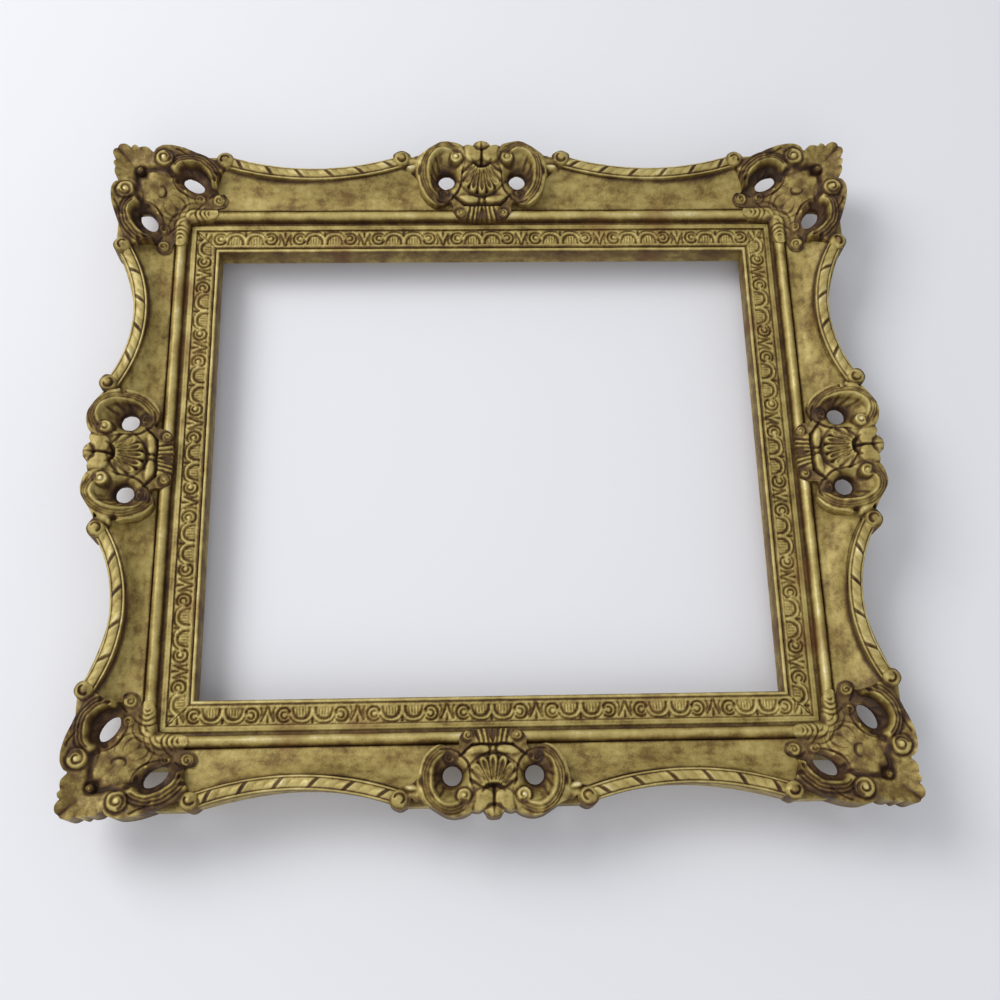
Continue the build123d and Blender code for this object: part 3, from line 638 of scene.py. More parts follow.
def build_ribbon(side, sign):
    """Ribbon edge of one run: a rounded band between two fillets, wound with slanting ribbon."""
    run = runs[side]
    length = 2 * asin((run.half_chord - 2.0) / run.radius) * run.radius
    relief = Relief((-length / 2, length / 2), (0, ribbon_width), grid_step)
    relief.x *= length / (relief.x.max() - relief.x.min())
    relief.x -= (relief.x.max() + relief.x.min()) / 2
    relief.y *= ribbon_width / relief.y.max()
    s, w = relief.x, relief.y
    middle = ribbon_width / 2
    fillets = bell(w - fillet, 0.5, 4) + bell(w - ribbon_width + fillet, 0.5, 4)
    band = np.sqrt(np.clip(1 - ((w - middle) / (middle - 1.0)) ** 2, 0, 1))
    # Slots, ribs and beads in turn, slanting toward the middle of the side
    phase = (-s * sign + (w - middle) * np.tan(radians(ribbon_slant))) / ribbon_pitch
    turn = phase - np.floor(phase)
    slot = bell((turn - 0.5) * ribbon_pitch, 1.25, 4)
    rib = bell((turn - 0.5) * ribbon_pitch, 3.6)
    bead = np.abs(np.sin(pi * (turn * 3 + 0.5))) ** 0.6
    body = band * (0.66 + 0.34 * rib) * ribbon_rise - 0.4 * band * (1 - bead) * (1 - rib)
    relief.z = ribbon_shoulder - 0.3 + body + fillet * fillets - 1.3 * slot * band
    relief.finish(31, 0.08)
    surface_tone = 0.8 * cavity_of(relief.z, grid_step) + 0.05 + 0.35 * fillets - 0.75 * slot * band
    surface_tone -= 0.7 * (bell(w - quirk, 0.35) + bell(w - ribbon_width + quirk, 0.35))
    distance = run.radius + ribbon_width - w
    px = sign * run.middle + distance * np.sin(s / run.radius)
    py = run.centre_reach - distance * np.cos(s / run.radius)
    keep = np.ones((s.shape[0] - 1, s.shape[1] - 1), bool)
    return grid_solid(px, py, relief.z, np.full_like(px, land_height - 1.5), keep, surface_tone)


def run_name(side, sign):
    """Half of the frame that a run lies in."""
    out_x, out_y = OUTWARD[side]
    if SIDES[side] == "across":
        return "right" if out_y * sign > 0 else "left"
    return "upper" if -out_x * sign > 0 else "lower"


for side in SIDES:
    for sign in (-1, 1):
        node = "ribbon_edge_%s_%s" % (side, run_name(side, sign))
        new_piece(node, *build_ribbon(side, sign), side_matrix(side))


def carve_motif(grid):
    """Half of the running motif: drop, hood with flutes, curl and bud, over a low rail."""
    # Drop between two hoods
    grid.dome((0.0, 4.4), (1.3, 2.4), band_floor + band_rise, band_floor + 1.2, melt=0.3)
    grid.groove([(0.0, 9.8), (0.0, 7.4)], (1.6, 1.0), (1.4, 1.0), 0.8)
    # Hood with flutes under it
    hood = [(1.6, 2.6), (2.0, 5.4), (3.6, 7.4), (6.0, 8.1), (8.6, 7.2), (10.0, 4.6), (10.4, 2.8)]
    grid.line(hood, (1.3, 1.7, 1.5, 1.3), (1.1, 1.4, 1.3, 0.8), 0.9)
    for place in (3.4, 5.0, 6.6, 8.2):
        grid.groove([(place, 6.2), (place + 0.1, 2.9)], (0.9, 0.7), (0.7, 0.5), 0.5)
    over_hood = [(0.5, 8.2), (2.4, 9.9), (5.6, 10.5), (9.4, 9.7), (11.8, 7.2)]
    grid.line(over_hood, (0.9, 1.1, 0.9), (0.7, 0.9, 0.7), 0.6)
    # Curl that opens to the hood
    grid.groove(arc_path((15.0, 6.0), (3.6, 3.7), -150, 130, 22), (1.0, 1.4, 1.3), (0.9, 1.4, 1.1), 0.9)
    grid.groove(arc_path((14.8, 6.2), (1.6, 1.7), -110, 150, 14), (1.0, 1.2, 1.0), (0.9, 1.3, 1.0), 0.9)
    grid.pit((12.4, 4.6), (1.1, 1.5), 1.0, tone=0.6)
    # Bud of two leaves with a tip between them
    leaf = [(band_motif - 0.4, 1.6), (band_motif - 1.4, 5.0), (band_motif - 3.3, 9.0)]
    grid.line(leaf, (1.0, 1.4, 1.2), (0.8, 1.3, 1.0), 0.9)
    grid.groove([(band_motif, 9.8), (band_motif, 6.4)], (1.2, 0.8), (1.2, 0.6), 0.8)
    grid.line([(19.8, 2.0), (20.6, 4.6), (19.6, 7.8)], (0.9, 1.3, 1.0), (0.7, 1.1, 0.9), 0.7)
    # Low rail
    grid.groove([(-2.0, 2.3), (band_motif + 2.0, 2.3)], (0.8, 0.8), (0.35, 0.35), 0.3)


def build_band(side):
    """Strip of the running motif, mirrored from one half to the next."""
    half_sight = runs[side].half_sight
    width = band_outer - band_inner
    relief = Relief((-half_sight - band_outer, half_sight + band_outer), (0, width), grid_step)
    relief.y *= width / relief.y.max()
    x, y = relief.x, relief.y
    end = half_sight + band_inner + width / 2
    half = end / round(end / band_motif)
    relief.x = np.abs(np.mod(x + half, 2 * half) - half) * band_motif / half
    relief.z = band_floor + band_rise * (0.72 + 0.28 * np.sin(pi * np.clip(y / width, 0, 1)))
    carve_motif(relief)
    relief.x = x
    relief.z += 0.12 * cloud(x, y, 5.0, 41) + 0.12 * cloud(x, y, 1.6, 43)
    relief.z = np.clip(relief.z, band_floor - 0.2, band_floor + band_rise)
    relief.finish(42, 0.06)
    surface_tone = blurred(0.8 * cavity_of(relief.z, grid_step) + 0.4 * relief.tone, 0.4 / grid_step) + 0.05
    surface_tone -= 0.8 * bell(y - 0.3, 0.4) + 0.6 * bell(y - width + 0.2, 0.45)
    # The mitred ends
    limit = half_sight + band_inner + y
    keep = np.abs(x) < limit - 0.3 * grid_step
    cells = keep[:-1, :-1] & keep[1:, :-1] & keep[1:, 1:] & keep[:-1, 1:]
    x = np.where(np.abs(x) > limit - 1.3 * grid_step, np.sign(x) * limit, x)
    return grid_solid(x, y + band_inner, relief.z, np.full_like(x, band_floor - 0.8), cells, surface_tone)


for side in SIDES:
    new_piece("scroll_band_" + side, *build_band(side), side_matrix(side))


# ---- Ornaments ----


def cove_base(inward):
    """Height of the cove under an ornament, at a distance inward from the moulding's outer edge."""
    width = run_end_reach - ribbon_width - ridge_outer
    return cove_rise(np.clip((moulding_reach - ridge_outer - inward) / width, 0, 1.1))


def over_ridge(height, inward, fall_start):
    """Carries a surface down over the ridge and the channel to the flat band."""
    part = smoothstep(inward, fall_start - 9.5, fall_start - 7.0)
    lip = ornament_over_ridge - 2.6 * smoothstep(inward, fall_start - 5.0, fall_start + 0.4) ** 2
    return height * (1 - part) + lip * part


def cut_out(relief, polygon, holes):
    """Solid of a relief inside its outline, with its pierced holes."""
    middles = [(grid[:-1, :-1] + grid[1:, 1:]) / 2 for grid in (relief.x, relief.y)]
    keep = inside_polygon(*middles, polygon)
    x, y = snapped(relief.x, relief.y, polygon, keep, relief.step)
    for hole in holes:
        outside = ~inside_polygon(*middles, hole)
        x, y = snapped(x, y, hole, outside, relief.step)
        keep &= outside
    # The tone carries the painted shade and light of the bowls and the painted highlights of the volutes' eyes
    surface_tone = blurred(cavity_of(relief.z, relief.step) + relief.tone, 0.4 / relief.step)
    surface_tone = np.clip(surface_tone - 0.15, -1.1, 1.0)
    return grid_solid(x, y, relief.z, np.minimum(relief.back, relief.z - 1.0), keep, surface_tone)


# ---- Corner ornaments ----

corner_hole = ((45.0, 20.1), (7.4, 4.0), 36.0)
corner_bowl = ((45.4, 18.8), (11.8, 8.4), 22.0)
corner_inner = (43.7, 43.7)
corner_arm = [
    (0.8, 0.8), (2.4, -0.8), (5.2, -1.2), (7.7, -0.2), (8.8, 0.6), (9.8, -0.2), (11.8, -0.5), (13.4, 0.6),
    (15.4, 0.2), (18.8, 0.8), (21.9, 3.0), (23.7, 0.9), (27.2, -0.7), (31.6, -0.9), (37.0, -0.1), (42.0, 1.3),
    (47.0, 3.0), (52.0, 4.9), (56.0, 6.6), (58.7, 7.0), (59.8, 4.2), (63.6, 1.9), (67.7, 3.6), (69.0, 6.8),
    (67.6, 10.4), (63.4, 12.2), (61.4, 15.0), (59.6, 19.0), (59.0, 23.0), (60.0, 25.0), (63.2, 25.6),
    (64.9, 28.8), (63.2, 32.6), (59.4, 33.8), (57.4, 35.0), (59.6, 37.0), (59.4, 40.2), (56.0, 41.8),
    (51.0, 42.4), (47.0, 43.3),
]


def carve_corner_arm(grid):
    """One arm of a corner ornament, from its volute to its knob."""
    # Crest round the outer side of the bowl, and the bowl itself
    grid.dome((29.8, 7.0), (11.5, 9.5), 44.0, 39.0, melt=1.8)
    grid.rim(corner_bowl, (-170.0, 0.0), (42.6, 44.6, 45.0, 43.6, 41.4, 38.8), 10.0, (1.5, 3.4, 5.4), 0.42)
    # The bowl gets umber wash and painted shade, and no painted light here
    grid.funnel(corner_hole, corner_bowl, 33.6, 0.75, 0.0)
    grid.line([(35.2, 1.2), (40.0, 3.4), (46.0, 7.2)], (0.8, 1.0, 0.6), (0.8, 0.8, 0.4), 0.4)
    # Streaks down the bowl's outer slope
    for streak in ([(38.6, 12.6), (41.4, 16.6)], [(43.4, 12.4), (45.0, 16.0)], [(48.6, 13.8), (49.0, 16.8)]):
        grid.groove(streak, (1.0, 1.5), (0.5, 0.3), 0.3)
    # Dark hollows between the volute and the bowl
    grid.pit((33.0, 15.2), (3.0, 2.0), 2.4, tilt=35)
    grid.pit((36.4, 18.6), (1.4, 2.2), 1.2, tilt=30)
    # Leaf beside the knob with its dark pits
    leaf = [(57.2, 12.4), (61.2, 14.0), (64.6, 12.6)]
    grid.ridge(leaf, (3.0, 4.0, 2.4), (39.6, 39.4, 38.6), melt=0.6)
    grid.pit((60.2, 16.2), (2.8, 1.2), 2.2, tilt=14)
    grid.pit((57.6, 19.4), (1.8, 1.4), 1.6, tilt=30)
    # Volute, with a painted highlight on its eye
    grid.volute((28.8, 7.2), 5.3, 45.4, 43.8, 1.5, -70, 1, pale=0.9)
    # Knob with one dark slit
    grid.dome((63.8, 6.9), (5.4, 5.2), 43.2, 38.6, melt=0.8)
    grid.tone -= 0.6 * spot(grid.x, grid.y, (64.4, 8.0), (3.0, 2.8))
    grid.groove(arc_path((64.2, 7.4), (2.6, 2.4), 150, 330, 12), (1.2, 1.6, 1.0), (1.2, 1.6, 1.0), 0.6)
    # Rim of the bowl on its inner side, with its curl and its bead
    centre, _, tilt = corner_bowl
    grid.groove(arc_path(centre, (12.2, 9.6), 45, 160, 20, tilt), (0.6, 1.0, 0.6), (0.3, 0.8, 0.4), 0.4)
    grid.curl((49.4, 29.0), 2.8, 1.2, 40, 1, 1.0)
    grid.dome((40.2, 25.2), (1.7, 1.5), 36.2, 33.0, melt=0.3)
    grid.tone += 0.6 * spot(grid.x, grid.y, (40.2, 25.2), (1.2, 1.0))
    # Small scroll outside the rim
    grid.line([(54.0, 27.6), (56.6, 25.6), (59.0, 24.8)], (0.8, 1.4, 1.0), (0.6, 0.9, 0.5), 0.4)
    grid.curl((60.0, 28.8), 3.6, 1.4, -60, 1, 1.3)
    # End of the ridge and the curls beside it
    for radius in (2.6, 5.0, 7.6, 10.4):
        curl = arc_path((57.0, 38.4), (radius, radius * 0.8), 130, 230, 14)
        grid.groove(curl, (0.5, 1.0, 0.5), (0.4, 1.0, 0.4), 0.35)


def carve_corner_middle(grid, x, y):
    """Fan tip, cartouche and the curls round the corner of the flat band."""
    # Fan tip with soft flutes that open at the scalloped edge
    root = 14.5
    reach = np.hypot(x - root, y - root)
    turn = np.degrees(np.arctan2(root - y, root - x)) - 45.0
    flutes = np.abs(np.sin(np.radians(turn * 180 / 23.0)))
    fan = smoothstep(np.abs(turn), 86, 70) * (x < 21) * (y < 21)
    edge = smoothstep(reach, 9.5, 16.5)
    grid.z += fan * edge * (0.8 * flutes**0.6 - 0.7) + 0.8 * fan * smoothstep(reach, 9, 17)
    grid.tone -= 0.2 * fan * edge * (1 - flutes) ** 2
    # Curl at the root of the fan, in a dark hollow that runs on to the volutes
    grid.pit((15.8, 15.8), (4.6, 4.6), 3.0, tone=0.7)
    # Its eye has a painted highlight
    grid.volute((14.2, 14.2), 2.5, 42.4, 40.0, 1.2, 200, 1, pale=0.7)
    hollow = np.array([(16.6, 12.6), (20.4, 13.4), (25.0, 14.0), (31.0, 14.6)])
    for path in (hollow, hollow[:, ::-1]):
        grid.line(path, (3.0, 3.8, 4.2), (1.3, 1.5, 1.5), 0.45)
    # Egg and soft curls of the cartouche
    grid.groove(arc_path((27.2, 27.2), (3.4, 2.6), -40, 200, 20), (0.8, 1.3, 0.8), (0.4, 0.8, 0.4), 0.35)
    grid.dome((27.0, 27.0), (2.4, 1.8), 38.3, 37.4, tilt=40, melt=1.0)
    for sign in (-1, 1):
        for place, radius, start, end, tone in ((33.5, 9.5, 26, 140, 0.25), (34.5, 6.0, 10, 150, 0.2)):
            curl = arc_path((place, place), (radius, radius), 45 + sign * start, 45 + sign * end, 16)
            grid.groove(curl, (0.5, 1.0, 0.4), (0.2, 0.6, 0.2), tone)
    # Curls round the corner of the flat band
    for radius in (4.4, 7.4, 10.4):
        for sign in (-1, 1):
            curl = arc_path((44.6 + 3.0 * sign, 44.6 - 3.0 * sign), (radius, radius), 183, 267, 14)
            grid.groove(curl, (0.4, 1.0, 0.4), (0.3, 0.8, 0.3), 0.3)


def build_corner():
    """Corner ornament: fan tip, leaves with volutes, pierced bowls, cartouche, curls and knobs."""
    grid = Relief((-1.8, 70.0), (-1.8, 70.0), ornament_step)
    x, y = grid.x, grid.y
    near, far = np.minimum(x, y), np.maximum(x, y)
    cover = cove_base(near) + skin
    body = 28.8 + 15.6 * np.clip(1 - near / corner_inner[0], 0, 1.1) ** 1.2
    bulge = 4.0 * bell(x - y, 14.0) * smoothstep(x + y, 88, 60) * smoothstep(x + y, 14, 40)
    height = cover + (body + bulge - cover) * smoothstep(far, 60.0, 40.0)
    grid.z = over_ridge(height, near, moulding_reach - flat_outer)
    grid.waver(71, 0.22)
    for _ in range(2):
        carve_corner_arm(grid)
        grid.x, grid.y = grid.y, grid.x
    carve_corner_middle(grid, x, y)
    grid.x, grid.y = x, y
    grid.finish(51)
    arm = smooth_path(corner_arm, 6)
    hole = oval_outline(corner_hole)
    return cut_out(grid, np.vstack([arm, [corner_inner], arm[::-1, ::-1]]), [hole, hole[:, ::-1]])


corner_parts = build_corner()
for corner in CORNERS:
    new_piece("corner_ornament_" + corner, *corner_parts, corner_matrix(corner))


# ---- Middle ornaments ----

centre_hole = ((21.2, 19.2), (4.9, 5.1), 0.0)
centre_bowl = ((22.0, 17.2), (9.8, 13.6), 0.0)
centre_places = (-2.0, 0.0, 6.0, 13.0, 20.0, 27.0, 31.0, 35.0, 39.0, 46.0)
centre_heights = (43.6, 44.2, 44.2, 41.4, 39.6, 36.6, 34.4, 32.6, 32.4, 31.0)


def centre_outline(knob):
    """Outline of a middle ornament, from its knob on one side to the knob on the other."""
    half = [
        (0.0, -2.6), (3.0, -2.0), (4.6, 0.2), (5.6, 1.5), (6.8, 0.9), (8.6, 0.5), (10.2, 0.8), (11.4, 0.9),
        (12.8, -0.2), (16.0, -1.6), (20.4, -2.2), (25.0, -1.2), (29.4, 1.4), (33.6, 4.1), (37.2, 5.6),
        (knob - 8.0, 5.9), (knob - 5.8, 7.8), (knob - 4.8, 4.6), (knob, 2.0), (knob + 4.6, 4.2),
        (knob + 5.1, 7.6), (knob + 3.4, 11.4), (knob - 2.0, 13.2), (knob - 6.0, 15.2), (39.0, 17.8),
        (37.8, 21.6), (36.8, 26.0), (34.4, 30.2), (31.0, 33.6), (27.0, 35.2), (23.0, 34.2), (19.4, 32.6),
        (17.6, 34.6), (17.2, 39.0), (15.2, 42.0), (11.6, 43.2), (8.4, 42.9), (5.8, 43.6), (2.9, 43.1),
        (0.0, 43.7),
    ]
    right = smooth_path(half, 6)
    return np.vstack([right, right[-2:0:-1] * np.array([-1, 1])])


def carve_shell(grid):
    """Shell: tongues with rounded ends, parted by dark grooves."""
    root = np.array([0.0, 9.4])
    for heading, length in ((8.5, 18.4), (25.5, 17.6), (42.5, 16.0), (59.5, 13.6)):
        direction = np.array([sin(radians(heading)), cos(radians(heading))])
        grid.groove([root + 6.8 * direction, root + length * direction], (1.2, 1.8, 2.2), (0.8, 1.2, 1.4), 0.6)
    widths, tops = (0.8, 1.0, 1.2, 1.4), np.array([42.2, 40.6, 39.2, 38.6])
    for heading, length in ((0, 19.2), (17, 18.6), (34, 17.2), (51, 15.0)):
        direction = np.array([sin(radians(heading)), cos(radians(heading))])
        normal = np.array([direction[1], -direction[0]])
        half = [(6.2, 0.3), (0.55 * length, 0.9), (0.84 * length, 1.45), (0.96 * length, 1.0), (length, 0.0)]
        both = [(reach, -across) for reach, across in half] + half[-2::-1]
        tongue = [root + reach * direction + across * normal for reach, across in both]
        levels = np.array([*tops, 38.4, *tops[::-1]]) + 0.06 * length * sin(radians(heading))
        grid.ridge(tongue, (*widths, 1.4, *widths[::-1]), levels, melt=0.25, steps=5)
    grid.groove(arc_path(root, (17.4, 20.8), 90, 32, 20), (1.4, 1.4, 1.0), (0.9, 0.8, 0.5), 0.3)


def carve_apron(grid, side, y):
    """Pads under the shell, and the apron of flutes between two spirals."""
    # Pads with dark lines round them
    grid.dome((7.8, 31.8), (6.4, 2.5), 36.4, 34.4, tilt=-8, melt=0.7)
    grid.dome((0.0, 32.6), (1.5, 1.8), 35.4, 33.4, melt=0.4)
    grid.line([(2.2, 30.4), (1.9, 32.4), (2.2, 34.6)], (0.8, 1.0, 0.8), (0.6, 0.8, 0.6), 0.4)
    grid.line([(17.2, 29.4), (13.8, 32.0), (10.8, 34.6), (9.6, 37.2)], (1.3, 1.3, 1.1), (1.3, 1.3, 1.0), 0.55)
    grid.line([(10.4, 34.6), (5.0, 35.4), (0.0, 35.0)], (0.8, 1.0, 0.8), (0.9, 1.0, 1.0), 0.5)
    # Apron
    plate = 33.6 - 0.05 * np.clip(y - 36.0, 0, None) ** 2
    part = smoothstep(side, 12.0, 10.0) * smoothstep(y, 34.8, 36.4)
    grid.z += (np.maximum(grid.z, plate) - grid.z) * part
    for place, lean in ((0.0, 0.0), (2.0, 1.0), (4.4, 1.4), (7.0, 2.0)):
        flute = [(place, 36.0), (place + lean * 0.4, 39.4), (place + lean, 43.4)]
        grid.groove(flute, (1.0, 1.7, 1.6), (0.8, 1.3, 1.1), 0.6)
    grid.groove([(0.0, 37.0), (1.0, 39.6), (1.4, 42.6)], (0.8, 1.4, 1.6), (0.6, 1.2, 1.0), 0.5)
    grid.volute((12.9, 40.0), 3.0, 33.6, 31.6, 1.2, 90, 1)


def carve_centre_half(grid, side, y, knob):
    """Half of a middle ornament. Side and y are the true coordinates, without the waver."""
    # Outer edge between the scroll and the knob
    shoulder = [(33.0, 6.6), (36.0, 8.6), (knob - 4.0, 9.4)]
    grid.ridge(shoulder, (6.0, 7.0, 6.0), (42.4, 41.2, 40.2), melt=0.8)
    # C-scroll round the bowl, with fine grooves along it, and the bowl itself with its streaks
    crest = (44.0, 46.2, 46.6, 45.2, 42.2, 38.4, 35.0)
    grid.rim(centre_bowl, (-130.0, 80.0), crest, 8.0, (1.6, 3.1, 4.6), 0.12)
    # The bowl gets umber wash, painted shade deep in it and painted light on its outer slope
    grid.funnel(centre_hole, centre_bowl, 33.0, 0.5, 0.5)
    for streak in ([(27.6, 7.6), (25.2, 13.0)], [(30.0, 12.4), (27.2, 16.6)], [(30.6, 18.6), (27.8, 20.4)]):
        grid.groove(streak, (1.0, 1.6), (0.8, 0.5), 0.3)
    # Leaf between the scroll and the knob, with its pale tip and dark pits
    leaf = [(knob - 4.2, 13.0), (knob - 8.4, 12.2), (37.0, 10.0)]
    grid.ridge(leaf, (2.6, 3.6, 2.4), (40.8, 40.6, 40.0), melt=0.5, tone=0.3)
    grid.pit((knob - 4.6, 15.8), (2.6, 1.2), 2.0, tilt=-15)
    grid.pit((37.4, 16.0), (1.4, 3.2), 1.8)
    # Knob with one dark curl
    grid.dome((knob, 7.1), (5.0, 5.0), 43.4, 38.6, melt=0.4)
    grid.groove(arc_path((knob, 7.4), (2.5, 2.5), 20, 250, 14), (1.2, 1.6, 1.0), (1.2, 1.5, 1.0), 0.6)
    grid.tone -= 0.4 * spot(side, y, (knob, 8.4), (2.8, 2.8))
    # Volute, with a painted highlight on its eye
    grid.volute((15.0, 8.2), 3.8, 44.8, 43.4, 1.3, -110, 1, pale=0.8)
    # Smooth shield with a slit, and the bud over it
    grid.dome((5.2, 5.0), (5.8, 6.2), 45.2, 43.4, melt=1.6)
    grid.line([(10.8, 0.6), (10.2, 4.0), (9.8, 8.0), (10.2, 12.6)], (1.0, 1.4, 1.0), (0.7, 0.5, 0.3), 0.15)
    grid.groove([(0.0, 3.4), (0.0, 8.0), (0.0, 12.6)], (1.2, 1.4, 2.0), (0.8, 1.4, 2.0), 0.6)
    grid.line([(0.0, 3.8), (2.4, 3.2), (4.2, 1.6), (5.4, 1.2)], (1.6, 1.7, 1.0), (1.0, 1.1, 0.5), 0.4)
    grid.dome((0.0, 0.2), (3.6, 3.0), 46.0, 43.0, melt=0.8)
    grid.groove([(0.0, -2.4), (0.0, 3.4)], (0.8, 1.4), (0.3, 1.0), 0.5)
    # Crescent over the shell
    crescent = [(0.0, 13.4), (2.4, 13.0), (4.4, 11.9), (5.6, 10.2)]
    grid.line(crescent, (2.4, 2.2, 1.7, 1.2), (2.0, 1.8, 1.3, 0.7), 0.7)
    grid.ridge([(0.0, 15.4), (3.4, 14.9), (6.4, 13.2)], (1.4, 1.5, 1.0), (42.4, 42.2, 42.2), melt=0.3)
    carve_shell(grid)
    # Wing beside the bowl
    wing = [(10.8, 13.6), (12.0, 18.0), (12.4, 22.4), (14.2, 27.4), (17.6, 30.6)]
    grid.line(wing, (0.9, 1.4, 1.4, 1.0), (0.7, 1.2, 1.2, 0.9), 0.6)
    # Curls of the rim below the hole
    curl = (22.2, 28.2)
    grid.volute(curl, 3.0, 33.6, 31.0, 1.3, 180, -1)
    grid.tone -= 0.3 * spot(side, y, curl, (3.4, 3.4))
    grid.line([(17.6, 31.2), (22.0, 33.0), (27.0, 32.6)], (1.0, 1.2, 0.8), (0.8, 0.9, 0.5), 0.5)
    carve_apron(grid, side, y)


def build_centre(kind):
    """Middle ornament: bud, C-scrolls with volutes, pierced bowls, shell, pads, apron and knobs."""
    knob = knob_near_centre[kind]
    grid = Relief((-knob - 6.0, knob + 6.0), (-3.6, 45.0), ornament_step)
    x, y = grid.x, grid.y
    side = np.abs(x)
    skirt = over_ridge(cove_base(y - centre_reach + moulding_reach) + skin, y, centre_reach - flat_outer)
    body = np.interp(y, centre_places, centre_heights)
    grid.z = skirt + (np.maximum(body, skirt) - skirt) * smoothstep(side, 38.0, 30.0)
    grid.waver(81, 0.18)
    grid.x = np.abs(grid.x)
    carve_centre_half(grid, side, y, knob)
    grid.x, grid.y = x, y
    grid.finish(61)
    hole = oval_outline(centre_hole)
    return cut_out(grid, centre_outline(knob), [hole, hole * np.array([-1, 1])])


for kind, sides in (("across", ("bottom", "top")), ("upright", ("left", "right"))):
    centre_parts = build_centre(kind)
    for side in sides:
        new_piece("centre_ornament_" + side, *centre_parts, side_matrix(side, centre_reach, -1))


# ---- Materials ----


class Shading:
    """Node material with short calls for its nodes. A value is a socket, a number or a colour."""

    def __init__(self, name):
        self.material = bpy.data.materials.new(name)
        self.material.use_nodes = True
        self.nodes = self.material.node_tree.nodes

    def fill(self, node, values):
        """Links or sets the inputs of a node."""
        for place, value in values.items():
            if isinstance(value, bpy.types.NodeSocket):
                self.material.node_tree.links.new(value, node.inputs[place])
            else:
                node.inputs[place].default_value = value
        return node

    def node(self, kind, values):
        """New node with its inputs."""
        return self.fill(self.nodes.new("ShaderNode" + kind), values)

    def shade(self, values):
        """Fills in the shader, and gives the material."""
        self.fill(self.nodes["Principled BSDF"], values)
        return self.material

    def noise(self, scale, detail, roughness, stretch=None):
        """Noise texture on object coordinates."""
        place = self.nodes.get("Texture Coordinate") or self.nodes.new("ShaderNodeTexCoord")
        vector = place.outputs["Object"]
        if stretch:
            vector = self.node("Mapping", {"Vector": vector, "Scale": stretch}).outputs["Vector"]
        values = {"Vector": vector, "Scale": scale, "Detail": detail, "Roughness": roughness}
        return self.node("TexNoise", values).outputs["Fac"]

    def math(self, operation, first, second, clamp=False):
        """Math node on two values."""
        node = self.node("Math", {0: first, 1: second})
        node.operation = operation
        node.use_clamp = clamp
        return node.outputs["Value"]

    def about(self, value, middle, gain, clamp=False):
        """Value less its middle, times a gain."""
        return self.math("MULTIPLY", self.math("SUBTRACT", value, middle), gain, clamp)

    def ramp(self, source, stops):
        """Colour ramp with stops of (place, colour in 0 to 255)."""
        node = self.node("ValToRGB", {"Fac": source})
        elements = node.color_ramp.elements
        while len(elements) < len(stops):
            elements.new(0.5)
        for element, (place, colour) in zip(elements, stops):
            element.position = place
            element.color = linear(*colour)
        return node.outputs["Color"]

    def mix(self, factor, first, second):
        """Colour mixed from two by a factor."""
        node = self.nodes.new("ShaderNodeMix")
        node.data_type = "RGBA"
        return self.fill(node, {0: factor, 6: first, 7: second}).outputs[2]

    def bump(self, height, strength, distance):
        """Normal with a bump."""
        return self.node("Bump", {"Height": height, "Strength": strength, "Distance": distance}).outputs["Normal"]


def gilding():
    """Antique gold: umber in the hollows, khaki gold on the slopes and pale rubbed high points, and the painted
    shade, light and highlights that the relief attribute brings.
    """
    look = Shading("antique_gold")
    attribute = look.nodes.new("ShaderNodeAttribute")
    attribute.attribute_name = "relief"
    streaks = look.noise(160.0, 5.0, 0.65)
    level = look.math("ADD", look.math("MULTIPLY", attribute.outputs["Fac"], 0.42), 0.5)
    level = look.math("ADD", level, look.about(look.noise(55.0, 5.0, 0.6), 0.5, 0.55))
    level = look.math("ADD", level, look.about(streaks, 0.5, 0.50))
    level = look.math("ADD", level, look.about(look.noise(900.0, 3.0, 0.6), 0.5, 0.22), clamp=True)
    gold = look.ramp(level, (
        (0.02, (48, 29, 14)), (0.22, (82, 57, 26)), (0.38, (116, 94, 45)), (0.52, (158, 138, 76)),
        (0.72, (188, 170, 106)), (0.97, (232, 220, 186)),
    ))
    stain = look.math("MULTIPLY", look.about(look.noise(32.0, 3.0, 0.5), 0.57, 5.0, clamp=True), 0.5)
    return look.shade({
        "Base Color": look.mix(stain, gold, linear(112, 70, 34)),
        "Metallic": 0.25,
        "Specular IOR Level": 0.4,
        "Roughness": look.math("ADD", look.math("MULTIPLY", level, -0.25), 0.66, clamp=True),
        "Normal": look.bump(streaks, 0.25, 0.0006),
    })


def back_wood():
    """Plain pine, toned brown, on the back and in the rabbet."""
    look = Shading("toned_wood")
    grain = look.noise(90.0, 6.0, 0.6, (0.12, 1.0, 1.0))
    colour = look.ramp(grain, ((0.25, (112, 84, 54)), (0.5, (148, 116, 78)), (0.75, (174, 142, 100))))
    return look.shade({"Base Color": colour, "Roughness": 0.72})


def plain_metal(name, colour, roughness):
    """Plain metal of one colour."""
    return Shading(name).shade({"Base Color": linear(*colour), "Metallic": 1.0, "Roughness": roughness})


def dress(piece, materials, chooser=None):
    """Gives a piece its materials, chosen for each face by its centre and normal."""
    piece.data.materials.clear()
    for material in materials:
        piece.data.materials.append(material)
    if chooser:
        polygons = piece.data.polygons
        centres = np.zeros(len(polygons) * 3)
        normals = np.zeros(len(polygons) * 3)
        polygons.foreach_get("center", centres)
        polygons.foreach_get("normal", normals)
        chosen = chooser(centres.reshape(-1, 3) / MM, normals.reshape(-1, 3))
        polygons.foreach_set("material_index", chosen.astype(np.int32))


def is_back(centres, normals):
    """Faces of a rail that are bare wood: its underside and the walls of the rabbet and ledge."""
    low = centres[:, 2] < lip_underside + 0.5
    inner = (centres[:, 1] > 1.0) & (centres[:, 1] < foot_reach + 1.0)
    return (low & inner) | (normals[:, 2] < -0.5)


